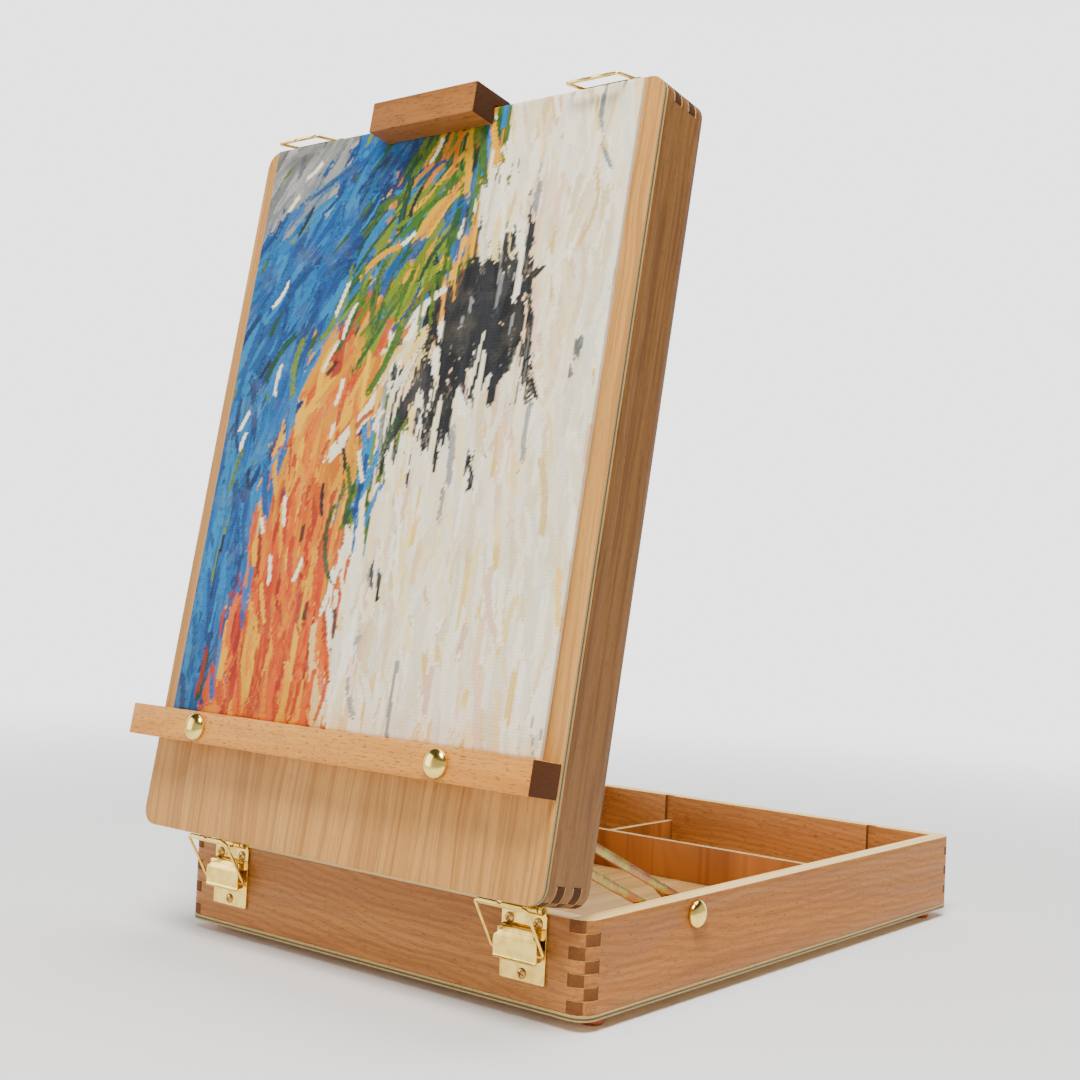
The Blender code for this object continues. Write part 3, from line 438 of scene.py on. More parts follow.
def bent_sheet(shape, path, thickness, half_widths, columns=10):
    """A sheet that follows a path of (outward, up) points, of varying width."""
    points = [Vector(p) for p in path]
    grids = []
    for layer in (-0.5, 0.5):
        rows = []
        for i, at in enumerate(points):
            along = points[min(i + 1, len(points) - 1)] - points[max(i - 1, 0)]
            side = Vector((-along.y, along.x)).normalized() * thickness * layer
            xs = [half_widths[i] * (2 * k / columns - 1) for k in range(columns + 1)]
            rows.append([shape.verts.new((x, -(at.x + side.x), at.y + side.y)) for x in xs])
        grids.append(rows)
    for rows in grids:
        for a, b in zip(rows, rows[1:]):
            for k in range(columns):
                shape.faces.new((a[k], a[k + 1], b[k + 1], b[k]))
    inner, outer = grids
    for i in range(len(points) - 1):
        for k in (0, columns):
            shape.faces.new((inner[i][k], inner[i + 1][k], outer[i + 1][k], outer[i][k]))
    for i in (0, len(points) - 1):
        for k in range(columns):
            shape.faces.new((inner[i][k], inner[i][k + 1], outer[i][k + 1], outer[i][k]))


def grain_data(mesh, frame_matrix, axis, seed, ply_axis=None):
    """Grain and growth-ring coordinates, cut-face and rim marks, and depth through a sheet."""
    rng = random.Random(seed)
    inverse = frame_matrix.inverted()
    straighten = inverse.to_3x3()
    order = {"X": (0, 1, 2), "Y": (1, 0, 2), "Z": (2, 0, 1)}[axis]
    offset = Vector([rng.uniform(-40, 40) for _ in range(3)])
    for name in ("grain", "world", "depth", "rings"):
        mesh.attributes.new(name, "FLOAT_VECTOR", "POINT")
    mesh.attributes.new("cut", "FLOAT", "FACE")
    mesh.attributes.new("rim", "FLOAT", "FACE")
    grain, world, depth, rings, cut, rim = (
        mesh.attributes[name] for name in ("grain", "world", "depth", "rings", "cut", "rim"))
    pith = Vector((rng.uniform(-0.05, 0.05), rng.uniform(-0.010, 0.010), rng.uniform(0.026, 0.040)))
    local = [inverse @ v.co for v in mesh.vertices]
    middle = sum(local, Vector()) / len(local)
    low = min(p["XYZ".index(ply_axis)] for p in local) if ply_axis else 0
    high = max(p["XYZ".index(ply_axis)] for p in local) if ply_axis else 1
    for i, point in enumerate(local):
        grain.data[i].vector = Vector([point[k] for k in order]) + offset
        world.data[i].vector = mesh.vertices[i].co
        rings.data[i].vector = Vector([(point - middle)[k] for k in order]) + pith
        share = (point["XYZ".index(ply_axis)] - low) / (high - low) if ply_axis else 0
        depth.data[i].vector = (share, 0, 0)
    for face in mesh.polygons:
        normal = straighten @ face.normal
        # Rim faces get the pale rim colour, partly a painted highlight of the light from above.
        rim.data[face.index].value = 1.0 if abs(normal.z) > 0.9 else 0.0
        if ply_axis:
            cut.data[face.index].value = 1.0 if abs(normal["XYZ".index(ply_axis)]) < 0.5 else 0.0
        else:
            cut.data[face.index].value = 1.0 if abs(normal["XYZ".index(axis)]) > 0.75 else 0.0


def show(name, mesh, material, node):
    """The finished piece: it rides the node's body."""
    mesh.materials.clear()
    mesh.materials.append(MATERIALS[material])
    made = bpy.data.objects.new(name, mesh)
    bpy.context.scene.collection.objects.link(made)
    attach(made, BODY_OF[node])
    return made


def soften(made, width, segments=2, angle=30):
    """Small even rounding of every hard edge."""
    made.data.shade_smooth()
    step = made.modifiers.new("soft_edges", "BEVEL")
    step.width = width
    step.segments = segments
    step.limit_method = "ANGLE"
    step.angle_limit = math.radians(angle)
    step.harden_normals = True
    step.use_clamp_overlap = True
    return made


def carried(node, material, width, axis="X", place=TRAY, ply_axis=None, segments=2):
    """A piece with the CAD node's shape, its triangles merged and its edges softened."""
    shape = bmesh.new()
    shape.from_mesh(frame["nodes"][node].data)
    bmesh.ops.remove_doubles(shape, verts=shape.verts, dist=2e-6)
    bmesh.ops.dissolve_limit(shape, angle_limit=math.radians(0.4), verts=shape.verts, edges=shape.edges)
    bmesh.ops.recalc_face_normals(shape, faces=shape.faces)
    mesh = bpy.data.meshes.new("look_" + node)
    shape.to_mesh(mesh)
    shape.free()
    grain_data(mesh, place, axis, node, ply_axis)
    made = show("look_" + node, mesh, material, node)
    soften(made, width, segments)
    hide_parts(node)
    return made


def modelled(name, shape, place, material, node, width=0.0, replaces=True):
    """A piece modelled in a local frame and put in its place in the easel's frame."""
    bmesh.ops.recalc_face_normals(shape, faces=shape.faces)
    shape.transform(place)
    mesh = bpy.data.meshes.new(name)
    shape.to_mesh(mesh)
    shape.free()
    mesh.shade_smooth()
    mesh.set_sharp_from_angle(angle=math.radians(34))
    grain_data(mesh, place, "X", name)
    made = show(name, mesh, material, node)
    if width:
        soften(made, width)
    if replaces:
        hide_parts(node)
    return made


# ================================================================ screws
def screw_mesh():
    """A domed head with a cross recess, on z = 0, of radius 1."""
    shape = bmesh.new()
    arc = [(math.sin(math.radians(d)), 0.08 + 0.34 * math.cos(math.radians(d))) for d in range(90, 5, -12)]
    turned(shape, [(0, -0.3), (0.9, -0.3), (1.0, 0.0)] + arc + [(0, 0.42)], sides=28)
    bmesh.ops.recalc_face_normals(shape, faces=shape.faces)
    head = bpy.data.meshes.new("screw_head")
    shape.to_mesh(head)
    shape.free()
    shape = bmesh.new()
    long, thin = 0.62, 0.13
    outline = [(thin, thin), (thin, long), (-thin, long), (-thin, thin), (-long, thin), (-long, -thin),
               (-thin, -thin), (-thin, -long), (thin, -long), (thin, -thin), (long, -thin), (long, thin)]
    prism(shape, outline, 0.12, 0.8, "Z")
    bmesh.ops.recalc_face_normals(shape, faces=shape.faces)
    recess = bpy.data.meshes.new("screw_recess")
    shape.to_mesh(recess)
    shape.free()
    body = bpy.data.objects.new("screw_body", head)
    cutter = bpy.data.objects.new("screw_cutter", recess)
    for made in (body, cutter):
        bpy.context.scene.collection.objects.link(made)
    step = body.modifiers.new("recess", "BOOLEAN")
    step.object = cutter
    step.operation = "DIFFERENCE"
    step.solver = "EXACT"
    graph = bpy.context.evaluated_depsgraph_get()
    made = bpy.data.meshes.new_from_object(body.evaluated_get(graph))
    bpy.data.objects.remove(body)
    bpy.data.objects.remove(cutter)
    return made


SCREW = screw_mesh()


def screws(name, spots, place, node, seed):
    """Cross-head screws; each spot is (x, y, z, radius) in the local frame, heads facing -Y."""
    rng = random.Random(seed)
    shape = bmesh.new()
    for x, y, z, radius in spots:
        one = SCREW.copy()
        one.transform(Matrix.Translation((x, y, z)) @ Matrix.Rotation(math.pi / 2, 4, "X")
                      @ Matrix.Rotation(rng.uniform(0, math.pi / 2), 4, "Z") @ Matrix.Scale(radius, 4))
        shape.from_mesh(one)
        bpy.data.meshes.remove(one)
    return modelled(name, shape, place, "screw_brass", node, replaces=False)


# ================================================================ hinges and latches
KNUCKLES = ((-0.0130, -0.0112), (-0.0033, 0.0033), (0.0112, 0.0130))
LEAF_KNUCKLES = ((-0.0102, -0.0044), (0.0044, 0.0102))


def knuckle(shape, start, end, y, z):
    edge = 0.0002
    ring = [(0.00115, start), (0.0023 - edge, start), (0.0023, start + edge), (0.0023, end - edge),
            (0.0023 - edge, end), (0.00115, end)]
    turned(shape, ring, "X", 32, (0, y, z))


def knuckle_tab(shape, start, end, low, high):
    """The bit of plate that joins a knuckle to its plate."""
    left, right = start + 0.0001, end - 0.0001
    prism(shape, [(left, low), (right, low), (right, high), (left, high)], PLATE_FACE, PLATE_BACK, "Y")


def latch_plate(shape, spans):
    """Base plate with ears, lever pin and any hinge knuckles."""
    top_radius = 0 if spans else 0.001
    corners = [(-LATCH_HALF, 0.0448), (-LATCH_HALF, 0.0128), (LATCH_HALF, 0.0128), (LATCH_HALF, 0.0448)]
    outline = rounded(corners, (top_radius, 0.001, 0.001, top_radius))
    prism(shape, outline, PLATE_FACE, PLATE_BACK, "Y")
    corners = [(-0.0012, 0.0335), (-0.006, 0.0345), (-0.006, 0.0375), (-0.0012, 0.0385)]
    ear = rounded(corners, (0, 0.001, 0.001, 0))
    for low, high in ((-0.012, -0.011), (0.011, 0.012)):
        prism(shape, ear, low, high, "X")
    turned(shape, [(0, -0.0123), (0.00085, -0.0123), (0.00085, 0.0123), (0, 0.0123)], "X", 20, LEVER_PIVOT)
    axis_z = TRAY_HEIGHT + HINGE_UP
    for start, end in spans:
        knuckle(shape, start, end, -HINGE_OUT, axis_z)
        knuckle_tab(shape, start, end, 0.0446, axis_z)


def latch_lever(shape):
    """Thumb lever about its pivot: a roll, a bowed face and a lip that turns outward."""
    roll = []
    for k in range(15):
        angle = math.radians(-70 - 16.5 * k)
        roll.append((0.00185 * math.cos(angle), 0.00185 * math.sin(angle)))
    bent_sheet(shape, [(x, y) for x, y in roll] + [(0.00185, -0.0003)], 0.0007, [0.0106] * 16)
    face = [(0.00185, -0.0002), (0.0021, -0.0012), (0.0024, -0.0024), (0.0025, -0.0045), (0.00245, -0.0070),
            (0.0023, -0.0092), (0.00215, -0.0108), (0.0022, -0.0116), (0.0024, -0.0122), (0.0027, -0.0127),
            (0.0030, -0.0130)]
    widths = [0.0106, 0.0107, 0.0128, 0.0131, 0.0131, 0.0131, 0.0131, 0.0131, 0.0129, 0.0126, 0.0121]
    bent_sheet(shape, face, 0.0009, widths, 16)
    bail_y, bail_z = BAIL_PIVOT.y - LEVER_PIVOT.y, BAIL_PIVOT.z - LEVER_PIVOT.z
    flange = rounded([(-0.0024, bail_z - 0.003), (bail_y + 0.002, bail_z - 0.003),
                      (bail_y + 0.002, bail_z + 0.003), (-0.0024, bail_z + 0.003)], (0, 0.0014, 0.0014, 0))
    for low, high in ((-0.0130, -0.0123), (0.0123, 0.0130)):
        prism(shape, flange, low, high, "X")


def latch_bail(shape):
    """Wire bail about its pivot, pointing up, with a notched flat pull bar."""
    top, half = 0.0274, 0.0155
    bend = 0.0016
    path = [(-0.0108, 0.0)]
    for corner, start in (((-half + bend, bend), 270), ((-half + bend, top - bend), 180),
                          ((half - bend, top - bend), 90), ((half - bend, bend), 0)):
        for k in range(7):
            angle = math.radians(start - 15 * k)
            path.append((corner[0] + bend * math.cos(angle), corner[1] + bend * math.sin(angle)))
    path.append((0.0108, 0.0))
    tube(shape, path, 0.0008)
    low, high, notch = top - 0.0016, top + 0.0016, 0.0011
    bar = rounded([(-0.0135, low), (0.0135, low), (0.0135, high), (notch, high), (notch, high - notch),
                   (-notch, high - notch), (-notch, high), (-0.0135, high)],
                  (0.0008, 0.0008, 0.0008, 0.0002, 0.0004, 0.0004, 0.0002, 0.0008), 4)
    prism(shape, bar, -0.0005, 0.0005, "Y")


def latch(where, side_name, place, lean, spans=()):
    shape = bmesh.new()
    latch_plate(shape, spans)
    node = f"{where}_latch_plate_{side_name}"
    modelled("look_" + node, shape, place, "brass", node, 0.00018)
    shape = bmesh.new()
    latch_lever(shape)
    node = f"{where}_latch_lever_{side_name}"
    modelled("look_" + node, shape, place @ Matrix.Translation(LEVER_PIVOT), "brass", node, 0.00015)
    shape = bmesh.new()
    latch_bail(shape)
    node = f"{where}_latch_bail_{side_name}"
    bail_place = place @ Matrix.Translation(BAIL_PIVOT) @ turn(lean, "X")
    modelled("look_" + node, shape, bail_place, "brass", node, 0.00015)
    head = 0.00265
    spots = [(x, PLATE_FACE, z, head) for x, z in ((-0.0086, 0.0409), (0.0086, 0.0409), (0, 0.0165))]
    screws(f"{where}_latch_screws_{side_name}", spots, place, f"{where}_latch_plate_{side_name}", side_name)


def dome_bolt(node, place, length):
    """A polished dome head on a threaded shank; the head stands on z = 0."""
    shape = bmesh.new()
    low = 0.0003
    arc = [(0.007 * math.sin(math.radians(d)), low + 0.0008 + 0.0036 * math.cos(math.radians(d)))
           for d in range(90, 3, -6)]
    shank = [(0, -length), (0.0025, -length), (0.0029, -length + 0.0004)]
    turns = int(length * 0.6 / 0.0008)
    for k in range(turns):
        z = -length + 0.0006 + k * 0.0008
        shank += [(0.0029, z), (0.0025, z + 0.0004)]
    shank += [(0.0029, -length * 0.35), (0.0029, low), (0.0068, low), (0.007, low + 0.0003)]
    turned(shape, shank + arc + [(0, low + 0.0044)], sides=56)
    return modelled("look_" + node, shape, place, "brass", node)


def winged(node, place, profile):
    """A wing nut or thumbscrew: a turned hub with two pressed wings."""
    shape = bmesh.new()
    turned(shape, profile, sides=40)
    corners = ((0.0040, 0.0008), (0.0070, 0.0016), (0.0120, 0.0060), (0.0125, 0.0105),
               (0.0085, 0.0112), (0.0048, 0.0060))
    outline = rounded(corners, (0, 0.0008, 0.0018, 0.0019, 0.0019, 0.0008))
    for side in (-1, 1):
        prism(shape, [(side * u, v) for u, v in outline], -0.001, 0.001, "Y")
    return modelled("look_" + node, shape, place, "brass", node, 0.00035)


NUT = [(0.0033, 0), (0.0058, 0), (0.0060, 0.0003), (0.0057, 0.0030), (0.0047, 0.0066), (0.0044, 0.0069),
       (0.0033, 0.0070)]
THUMBSCREW = [(0, -0.0066), (0.0027, -0.0066), (0.003, -0.0062), (0.003, 0), (0.0058, 0), (0.0060, 0.0003),
              (0.0057, 0.0030), (0.0047, 0.0066), (0.0044, 0.0069), (0, 0.0070)]


def turn(degrees, axis):
    return Matrix.Rotation(math.radians(degrees), 4, axis)


def plate_with_hook(shape, plan, hook, half_width):
    prism(shape, plan, PLATE_FACE, PLATE_BACK, "Y")
    prism(shape, rounded(hook, (0, 0.0006, 0.0003, 0.0003, 0, 0), 3), -half_width, half_width, "X")


def hinge(name, x):
    """The hinge pin, and the lid's leaf with its knuckles and the hook for the front bail."""
    shape = bmesh.new()
    turned(shape, [(0, -LATCH_HALF), (0.00085, -LATCH_HALF), (0.00085, LATCH_HALF), (0, LATCH_HALF)], "X", 24)
    pin = TRAY @ Matrix.Translation((x, -HINGE_OUT, TRAY_HEIGHT + HINGE_UP))
    modelled(f"look_hinge_pin_{name}", shape, pin, "screw_brass", f"hinge_pin_{name}")

    shape = bmesh.new()
    axis_z, low, high = HINGE_UP - RIM_GAP, 0.0041, 0.013
    corners = [(-LATCH_HALF, low), (LATCH_HALF, low), (LATCH_HALF, high), (-LATCH_HALF, high)]
    hook = [(-0.0008, 0.006), (-0.0055, 0.006), (-0.0055, 0.0088), (-0.0045, 0.0088), (-0.0045, 0.007),
            (-0.0008, 0.007)]
    plate_with_hook(shape, rounded(corners, (0, 0, 0.001, 0.001)), hook, 0.009)
    for start, end in LEAF_KNUCKLES:
        knuckle(shape, start, end, -HINGE_OUT, axis_z)
        knuckle_tab(shape, start, end, axis_z, 0.0043)
    leaf_place = LID @ Matrix.Translation((x, 0, 0))
    node = f"lid_hinge_leaf_{name}"
    modelled("look_" + node, shape, leaf_place, "brass", node, 0.00015)
    spots = [(-0.0105, PLATE_FACE, 0.0106, 0.0017), (0.0105, PLATE_FACE, 0.0106, 0.0017)]
    screws(f"hinge_screws_{name}", spots, leaf_place, node, name + "leaf")


def rear_strike(name, x):
    """The hooked plate on the tray's rear wall that the lid's bail catches."""
    shape = bmesh.new()
    low, high = 0.0275, 0.0438
    corners = [(-LATCH_HALF, low), (LATCH_HALF, low), (LATCH_HALF, high), (-LATCH_HALF, high)]
    hook = [(-0.0008, 0.042), (-0.006, 0.042), (-0.006, 0.0388), (-0.005, 0.0388), (-0.005, 0.041),
            (-0.0008, 0.041)]
    plate_with_hook(shape, rounded(corners, 0.001), hook, 0.0115)
    place = TRAY @ Matrix.Translation((x, BOX_LENGTH, 0)) @ turn(180, "Z")
    node = f"rear_strike_{name}"
    modelled("look_" + node, shape, place, "brass", node, 0.00015)
    spots = [(-0.008, PLATE_FACE, 0.0325, 0.0026), (0.008, PLATE_FACE, 0.0325, 0.0026)]
    screws(f"strike_screws_{name}", spots, place, node, name + "strike")


def bolts_and_nuts(name, side):
    """The dome bolts and wing nuts that clamp a stay to the tray and hold the ledge to the lid."""
    bolt = TRAY @ Matrix.Translation((side * BOX_HALF, STAY_BOLT_Y, STAY_BOLT_Z)) @ turn(90 * side, "Y")
    dome_bolt(f"stay_bolt_{name}", bolt, STAY_BOLT_LENGTH)
    nut = TRAY @ Matrix.Translation((side * STAY_NUT_X, STAY_BOLT_Y, STAY_BOLT_Z)) @ turn(-90 * side, "Y")
    winged(f"stay_wing_nut_{name}", nut, NUT)
    bolt = LID @ Matrix.Translation((side * LEDGE_BOLT_X, LEDGE_BOLT_Y, LID_DEPTH + LEDGE_OUT))
    dome_bolt(f"ledge_bolt_{name}", bolt, LEDGE_BOLT_LENGTH)
    nut = LID @ Matrix.Translation((side * LEDGE_BOLT_X, LEDGE_BOLT_Y, LID_NUT_SEAT)) @ turn(180, "X")
    winged(f"ledge_wing_nut_{name}", nut, NUT)


def feet(name, side):
    profile = [(0, -0.005), (0.0044, -0.005), (0.0050, -0.00485), (0.0056, -0.0043), (0.0061, -0.0030),
               (0.0064, -0.0014), (0.0065, -0.0003), (0.0064, 0.0), (0, 0)]
    for end, y in (("front", FOOT_FRONT_Y), ("rear", FOOT_REAR_Y)):
        shape = bmesh.new()
        turned(shape, profile, sides=48)
        node = f"foot_{end}_{name}"
        place = TRAY @ Matrix.Translation((side * FOOT_X, y, -FOOT_GAP))
        modelled("look_" + node, shape, place, "foot_plastic", node)


def hardware():
    for name, side in (("left", -1), ("right", 1)):
        x = side * LATCH_X
        latch("front", name, TRAY @ Matrix.Translation((x, 0, 0)), FRONT_BAIL_LEAN, KNUCKLES)
        lid_place = LID @ Matrix.Translation((x, BOX_LENGTH, TRAY_HEIGHT)) @ turn(180, "X")
        latch("lid", name, lid_place, LID_BAIL_LEAN)
        hinge(name, x)
        rear_strike(name, x)
        bolts_and_nuts(name, side)
        carried(f"stay_{name}", "zinc", 0.0003, "Y", TRAY, segments=2)
        carried(f"stay_washer_{name}", "zinc", 0.0002, "X", TRAY)
        carried(f"stay_rivet_{name}", "brass", 0.0002, "X", TRAY)
        feet(name, side)
    place = LID @ Matrix.Translation((0, THUMBSCREW_Y, THUMBSCREW_Z)) @ turn(180, "X")
    winged("mast_thumbscrew", place, THUMBSCREW)


# ================================================================ wood
def woodwork():
    carried("tray_base", "pale_ply", 0.0003, "Y", TRAY, "Z")
    for name, axis in (("front", "X"), ("rear", "X"), ("left", "Y"), ("right", "Y")):
        carried(f"tray_{name}_wall", "beech", 0.00035, axis, TRAY)
    for name, axis in (("top", "X"), ("bottom", "X"), ("left", "Y"), ("right", "Y")):
        carried(f"lid_{name}_wall", "beech_lid", 0.00035, axis, LID)
    carried("long_divider", "divider_ply", 0.0004, "X", TRAY, "Y")
    carried("short_divider", "divider_ply", 0.0004, "Y", TRAY, "X")
    carried("lid_panel", "plywood", 0.0003, "Y", LID, "Z")
    carried("ledge", "beech_block_lit", 0.0006, "X", LID, segments=3)
    carried("clamp_block", "beech_clamp", 0.0006, "X", LID, segments=3)
    carried("mast", "beech_block_lit", 0.0005, "Y", LID)
    carried("mast_bridge", "beech", 0.0005, "X", LID)
    for name in ("left", "right"):
        carried(f"mast_guide_{name}", "beech", 0.0005, "Y", LID)


# ================================================================ the painting
PAINTS = {
    "blue": ((0.000, 0.060, 0.240), (0.001, 0.120, 0.350), (0.000, 0.020, 0.100), (0.004, 0.190, 0.420)),
    "warm": ((0.640, 0.085, 0.000), (0.480, 0.025, 0.002), (0.740, 0.170, 0.000), (0.300, 0.010, 0.004)),
    "yellow": ((0.740, 0.300, 0.000), (0.820, 0.420, 0.002), (0.600, 0.160, 0.000)),
    "green": ((0.035, 0.120, 0.003), (0.004, 0.050, 0.016), (0.150, 0.220, 0.003)),
    "cream": ((0.950, 0.850, 0.600), (0.970, 0.910, 0.740), (0.920, 0.740, 0.400), (0.960, 0.890, 0.700)),
    "straw": ((0.860, 0.560, 0.130), (0.900, 0.680, 0.270), (0.920, 0.600, 0.440)),
    "grey": ((0.220, 0.230, 0.220), (0.140, 0.150, 0.150), (0.340, 0.340, 0.320)),
    "charcoal": ((0.004, 0.006, 0.009), (0.014, 0.017, 0.022)),
}
# centre, half sizes and lean of the dark masses
SHADOWS = ((0.70, 0.66, 0.110, 0.150, 0.35), (0.57, 0.50, 0.075, 0.055, -0.30))


def in_shadow(u, v):
    for x, y, wide, tall, lean in SHADOWS:
        a, b = u - x, (v - y) * 1.26
        c, s = math.cos(lean), math.sin(lean)
        if ((a * c + b * s) / wide) ** 4 + ((b * c - a * s) / tall) ** 4 < 1:
            return True
    return False


def mass_at(u, v, rng):
    """Colour masses of an abstract: u runs to the right and v up the board."""
    u, v = u + rng.gauss(0, 0.022), v + rng.gauss(0, 0.030)
    blue_edge = 0.08 + 0.26 * v + 0.40 * max(0.0, v - 0.62)
    warm_edge = 0.50 - 0.09 * math.sin(3.6 * v + 0.5)
    chance = rng.random()
    if in_shadow(u, v):
        return "charcoal" if chance < 0.94 else "grey"
    if v > 0.88 and u < 0.22:
        return "grey"
    if u < blue_edge:
        return "blue" if chance < 0.93 else "green"
    if u < warm_edge and v < 0.64:
        if v < 0.34:
            return "warm" if chance < 0.72 else "yellow"
        return "yellow" if chance < 0.66 else "warm"
    if u < warm_edge + 0.12 and v > 0.64:
        return "green" if chance < 0.62 else ("yellow" if chance < 0.82 else "blue")
    if u < warm_edge + 0.07 and 0.26 < v < 0.48:
        return "green" if chance < 0.7 else "blue"
    streak = 0.10 + 0.35 * max(0.0, math.sin(23 * u + 1.5)) ** 3
    return "straw" if chance < streak else ("cream" if chance < 0.98 else "grey")


def stroke_heading(u, v, rng):
    """Strokes curl with the masses; on the pale side they fall nearly straight down."""
    if u > 0.55 or v < 0.35:
        return math.radians(90 + rng.gauss(2, 8))
    return math.radians(92 - 40 * math.sin(2.6 * (v - 0.35)) + rng.gauss(0, 14))


def brush(colour, relief, cell, spot, size, heading, bend, tones, bristles):
    """One brush mark: its streaks carry two tones and leave ridges."""
    (x0, y0), (length, breadth) = spot, size
    rows, columns = relief.shape
    reach = int((length / 2 + breadth) / cell) + 2
    row, column = int(y0 / cell), int(x0 / cell)
    i = np.arange(max(row - reach, 0), min(row + reach, rows))
    j = np.arange(max(column - reach, 0), min(column + reach, columns))
    if not len(i) or not len(j):
        return
    yy, xx = np.meshgrid((i + 0.5) * cell - y0, (j + 0.5) * cell - x0, indexing="ij")
    along = xx * math.cos(heading) + yy * math.sin(heading)
    across = -xx * math.sin(heading) + yy * math.cos(heading) + bend * along * along
    count = len(bristles) - 1
    at = np.clip((across / breadth + 0.5) * count, 0, count)
    streak = np.interp(at.ravel(), np.arange(count + 1), bristles).reshape(at.shape)
    inside = (np.abs(across) < breadth / 2) & (np.abs(along) < length / 2 * (0.78 + 0.3 * streak))
    cover = np.where(inside, np.clip(0.74 + 0.5 * streak, 0, 1), 0)
    blend = np.clip(streak * 1.3 - 0.45, 0, 0.6)[..., None]
    stroke = np.array(tones[0]) * (1 - blend) + np.array(tones[1]) * blend
    block = np.ix_(i, j)
    colour[block] = colour[block] * (1 - cover[..., None]) + stroke * cover[..., None]
    ridge = 0.35 + 0.65 * streak + 0.5 * np.clip(np.abs(across) / breadth * 2 - 0.7, 0, 0.3)
    relief[block] = relief[block] * (1 - cover) + ridge * cover


def paint(columns, rows, width, height):
    """Colour and relief of the painted face, built up from a few thousand brush marks."""
    rng = random.Random(41)
    hairs = np.random.RandomState(7)
    colour = np.empty((rows, columns, 3))
    colour[:] = (0.80, 0.68, 0.46)
    relief = np.zeros((rows, columns))
    cell = width / columns
    sizes = ((0.095, 0.022, 260), (0.075, 0.013, 700), (0.055, 0.007, 1000), (0.036, 0.0036, 900))
    for length, breadth in [(long, wide) for long, wide, count in sizes for _ in range(count)]:
        size = (length * rng.uniform(0.6, 1.35), breadth * rng.uniform(0.6, 1.3))
        u, v = rng.random(), rng.random()
        family = PAINTS[mass_at(u, v, rng)]
        shade = rng.uniform(0.80, 1.10)
        tones = [tuple(c * shade for c in rng.choice(family)) for _ in range(2)]
        brush(colour, relief, cell, (u * width, v * height), size, stroke_heading(u, v, rng),
              rng.gauss(0, 7), tones, hairs.rand(22))
    for _ in range(46):
        u, v = rng.uniform(0.05, 0.62), rng.uniform(0.15, 0.95)
        tone = PAINTS["charcoal"] if rng.random() < 0.4 else PAINTS["cream"][:2]
        brush(colour, relief, cell, (u * width, v * height), (rng.uniform(0.009, 0.022), 0.0026),
              stroke_heading(u, v, rng), rng.gauss(0, 12), tone, hairs.rand(6))
    return np.clip(colour, 0, 1), relief


def canvas():
    """The canvas board: a boxed sheet whose painted face is a fine relief."""
    node = "canvas_board"
    shape = bmesh.new()
    inverse = LID.inverted()
    local = [inverse @ v.co for v in frame["nodes"][node].data.vertices]
    low = Vector([min(p[k] for p in local) for k in range(3)])
    high = Vector([max(p[k] for p in local) for k in range(3)])
    width, height = high.x - low.x, high.y - low.y
    columns, rows = ((258, 326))
    colour, relief = paint(columns, rows, width, height)
    deep = 0.00022
    xs = np.linspace(low.x, high.x, columns)
    ys = np.linspace(low.y, high.y, rows)
    verts, tints, ridges = [], [], []
    for r in range(rows):
        for c in range(columns):
            edge = r in (0, rows - 1) or c in (0, columns - 1)
            lift = 0 if edge else min(relief[r, c], 1.2) / 1.2 * deep
            drop = 0.0004 if edge else 0
            verts.append((xs[c], ys[r], high.z - deep - drop + lift))
            tints.append(colour[r, c])
            ridges.append(relief[r, c])
    faces = [(r * columns + c, r * columns + c + 1, (r + 1) * columns + c + 1, (r + 1) * columns + c)
             for r in range(rows - 1) for c in range(columns - 1)]
    rim = ([c for c in range(columns)] + [r * columns + columns - 1 for r in range(1, rows)]
           + [(rows - 1) * columns + c for c in range(columns - 2, -1, -1)]
           + [r * columns for r in range(rows - 2, 0, -1)])
    start = len(verts)
    for k in rim:
        verts.append((verts[k][0], verts[k][1], low.z))
        tints.append(srgb(222, 212, 190))
        ridges.append(0.0)
    for k in range(len(rim)):
        j = (k + 1) % len(rim)
        faces.append((rim[j], rim[k], start + k, start + j))
    faces.append(tuple(range(start + len(rim) - 1, start - 1, -1)))
    mesh = bpy.data.meshes.new("look_canvas_board")
    mesh.from_pydata([LID @ Vector(v) for v in verts], [], faces)
    mesh.update()
    mesh.shade_smooth()
    mesh.set_sharp_from_angle(angle=math.radians(50))
    grain_data(mesh, LID, "X", node)
    mesh.attributes.new("paint", "FLOAT_COLOR", "POINT")
    mesh.attributes.new("bristle", "FLOAT", "POINT")
    tint_values = np.column_stack([np.array(tints), np.ones(len(tints))]).astype(np.float32)
    mesh.attributes["paint"].data.foreach_set("color", tint_values.ravel())
    mesh.attributes["bristle"].data.foreach_set("value", np.array(ridges, np.float32))
    made = show("look_canvas_board", mesh, "canvas", node)
    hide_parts(node)


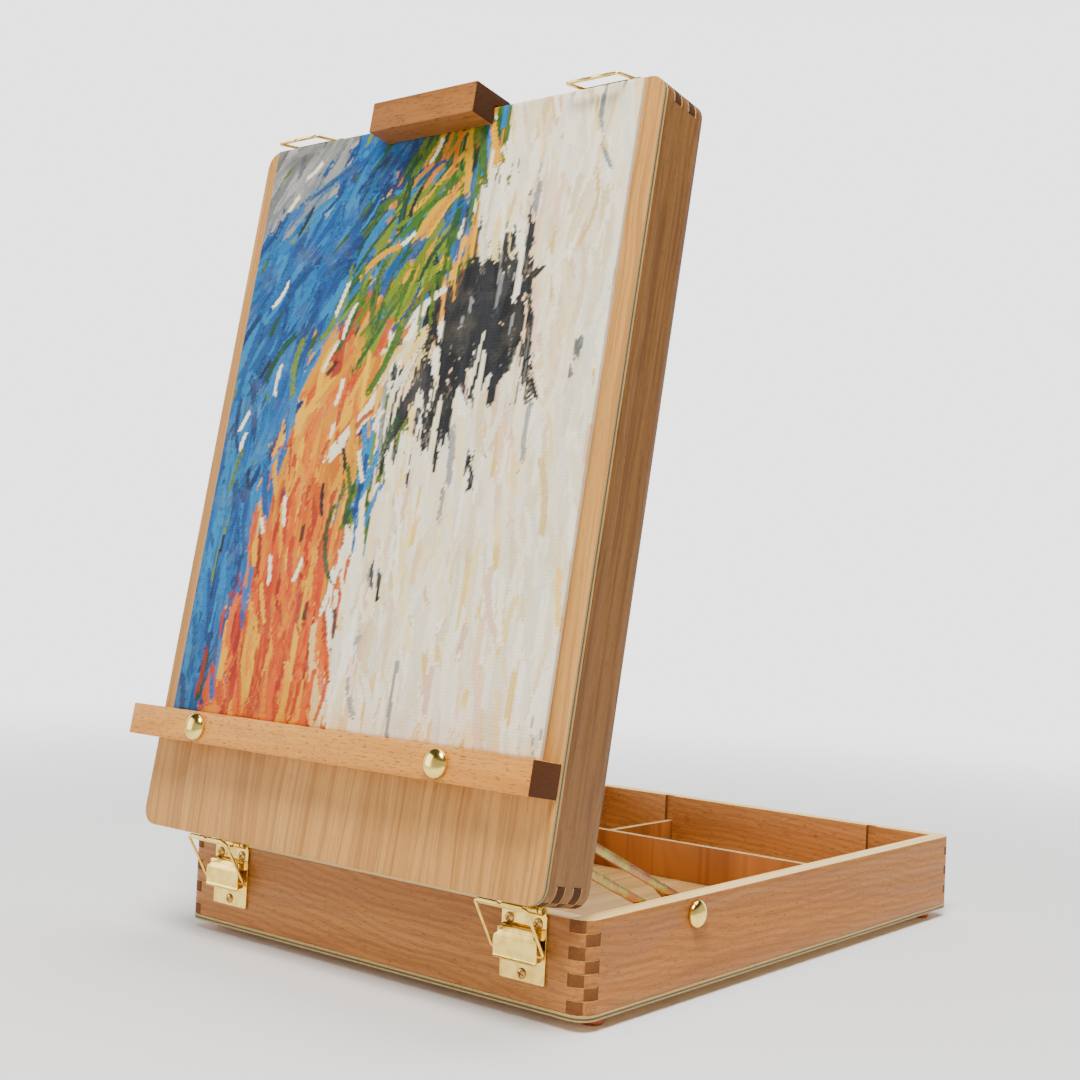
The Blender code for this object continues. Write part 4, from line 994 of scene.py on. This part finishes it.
# ================================================================ studio
def studio():
    """Pale floor, soft light from above and the front, and the photo's camera."""
    shape = bmesh.new()
    bmesh.ops.create_circle(shape, cap_ends=True, segments=96, radius=FLOOR_RADIUS)
    mesh = bpy.data.meshes.new("floor")
    shape.to_mesh(mesh)
    shape.free()
    mesh.materials.append(floor_material())
    floor = bpy.data.objects.new("floor", mesh)
    bpy.context.scene.collection.objects.link(floor)

    world = bpy.data.worlds.new("studio")
    world.use_nodes = True
    tree = world.node_tree
    way = add(tree, "ShaderNodeTexCoord").outputs["Generated"]
    up = add(tree, "ShaderNodeSeparateXYZ", {0: way}).outputs[2]
    behind = add(tree, "ShaderNodeVectorMath", {0: way, 1: (-0.629, 0.777, 0.0)}, operation="DOT_PRODUCT")
    share = scaled(tree, behind.outputs["Value"], 0.5, 0.5)
    backdrop = ramp(tree, share, ((0.70, 0.24), (0.90, 1.0)), "EASE")
    white, low_dark, high_dark = (1.0, 1.0, 1.0), (0.08, 0.075, 0.07), (0.14, 0.135, 0.13)
    stops = ((0.0, white), (0.675, white), (0.74, low_dark), (1.0, high_dark))
    sky = ramp(tree, scaled(tree, up, 0.5, 0.5), stops)
    tree.links.new(mix(tree, 1.0, sky, backdrop, "MULTIPLY"), tree.nodes["Background"].inputs["Color"])
    tree.nodes["Background"].inputs["Strength"].default_value = 2.8
    bpy.context.scene.world = world

    for name, at, size, energy, colour in (
        ("key", (0.60, -1.15, 1.95), 0.8, 72, (1.0, 0.98, 0.94)),
        ("fill", (-1.5, -1.3, 0.55), 1.2, 14, (1.0, 0.99, 0.97)),
        ("above", (0.3, 0.4, 2.4), 1.8, 52, (1.0, 1.0, 1.0)),
    ):
        light = bpy.data.lights.new(name, "AREA")
        light.size = size
        light.energy = energy
        light.color = colour
        made = bpy.data.objects.new(name, light)
        made.location = at
        made.rotation_mode = "QUATERNION"
        made.rotation_quaternion = (Vector((0, 0, 0.16)) - Vector(at)).to_track_quat("-Z", "Y")
        bpy.context.scene.collection.objects.link(made)

    azimuth, elevation, roll = (math.radians(v) for v in (CAMERA_AZIMUTH, CAMERA_ELEVATION, CAMERA_ROLL))
    back = Vector((math.sin(azimuth) * math.cos(elevation), -math.cos(azimuth) * math.cos(elevation),
                   math.sin(elevation)))
    right = (-back).cross(Vector((0, 0, 1))).normalized()
    up = right.cross(-back)
    across = right * math.cos(roll) + up * math.sin(roll)
    upward = up * math.cos(roll) - right * math.sin(roll)
    camera = bpy.data.objects.new("camera", bpy.data.cameras.new("camera"))
    camera.data.lens = 51.2
    camera.data.sensor_width = 36.0
    camera.data.clip_start = 0.01
    camera.data.clip_end = 50.0
    camera.matrix_world = Matrix.Translation(CAMERA_AT) @ Matrix((across, upward, back)).transposed().to_4x4()
    bpy.context.scene.collection.objects.link(camera)
    bpy.context.scene.camera = camera


woodwork()
hardware()
canvas()
studio()
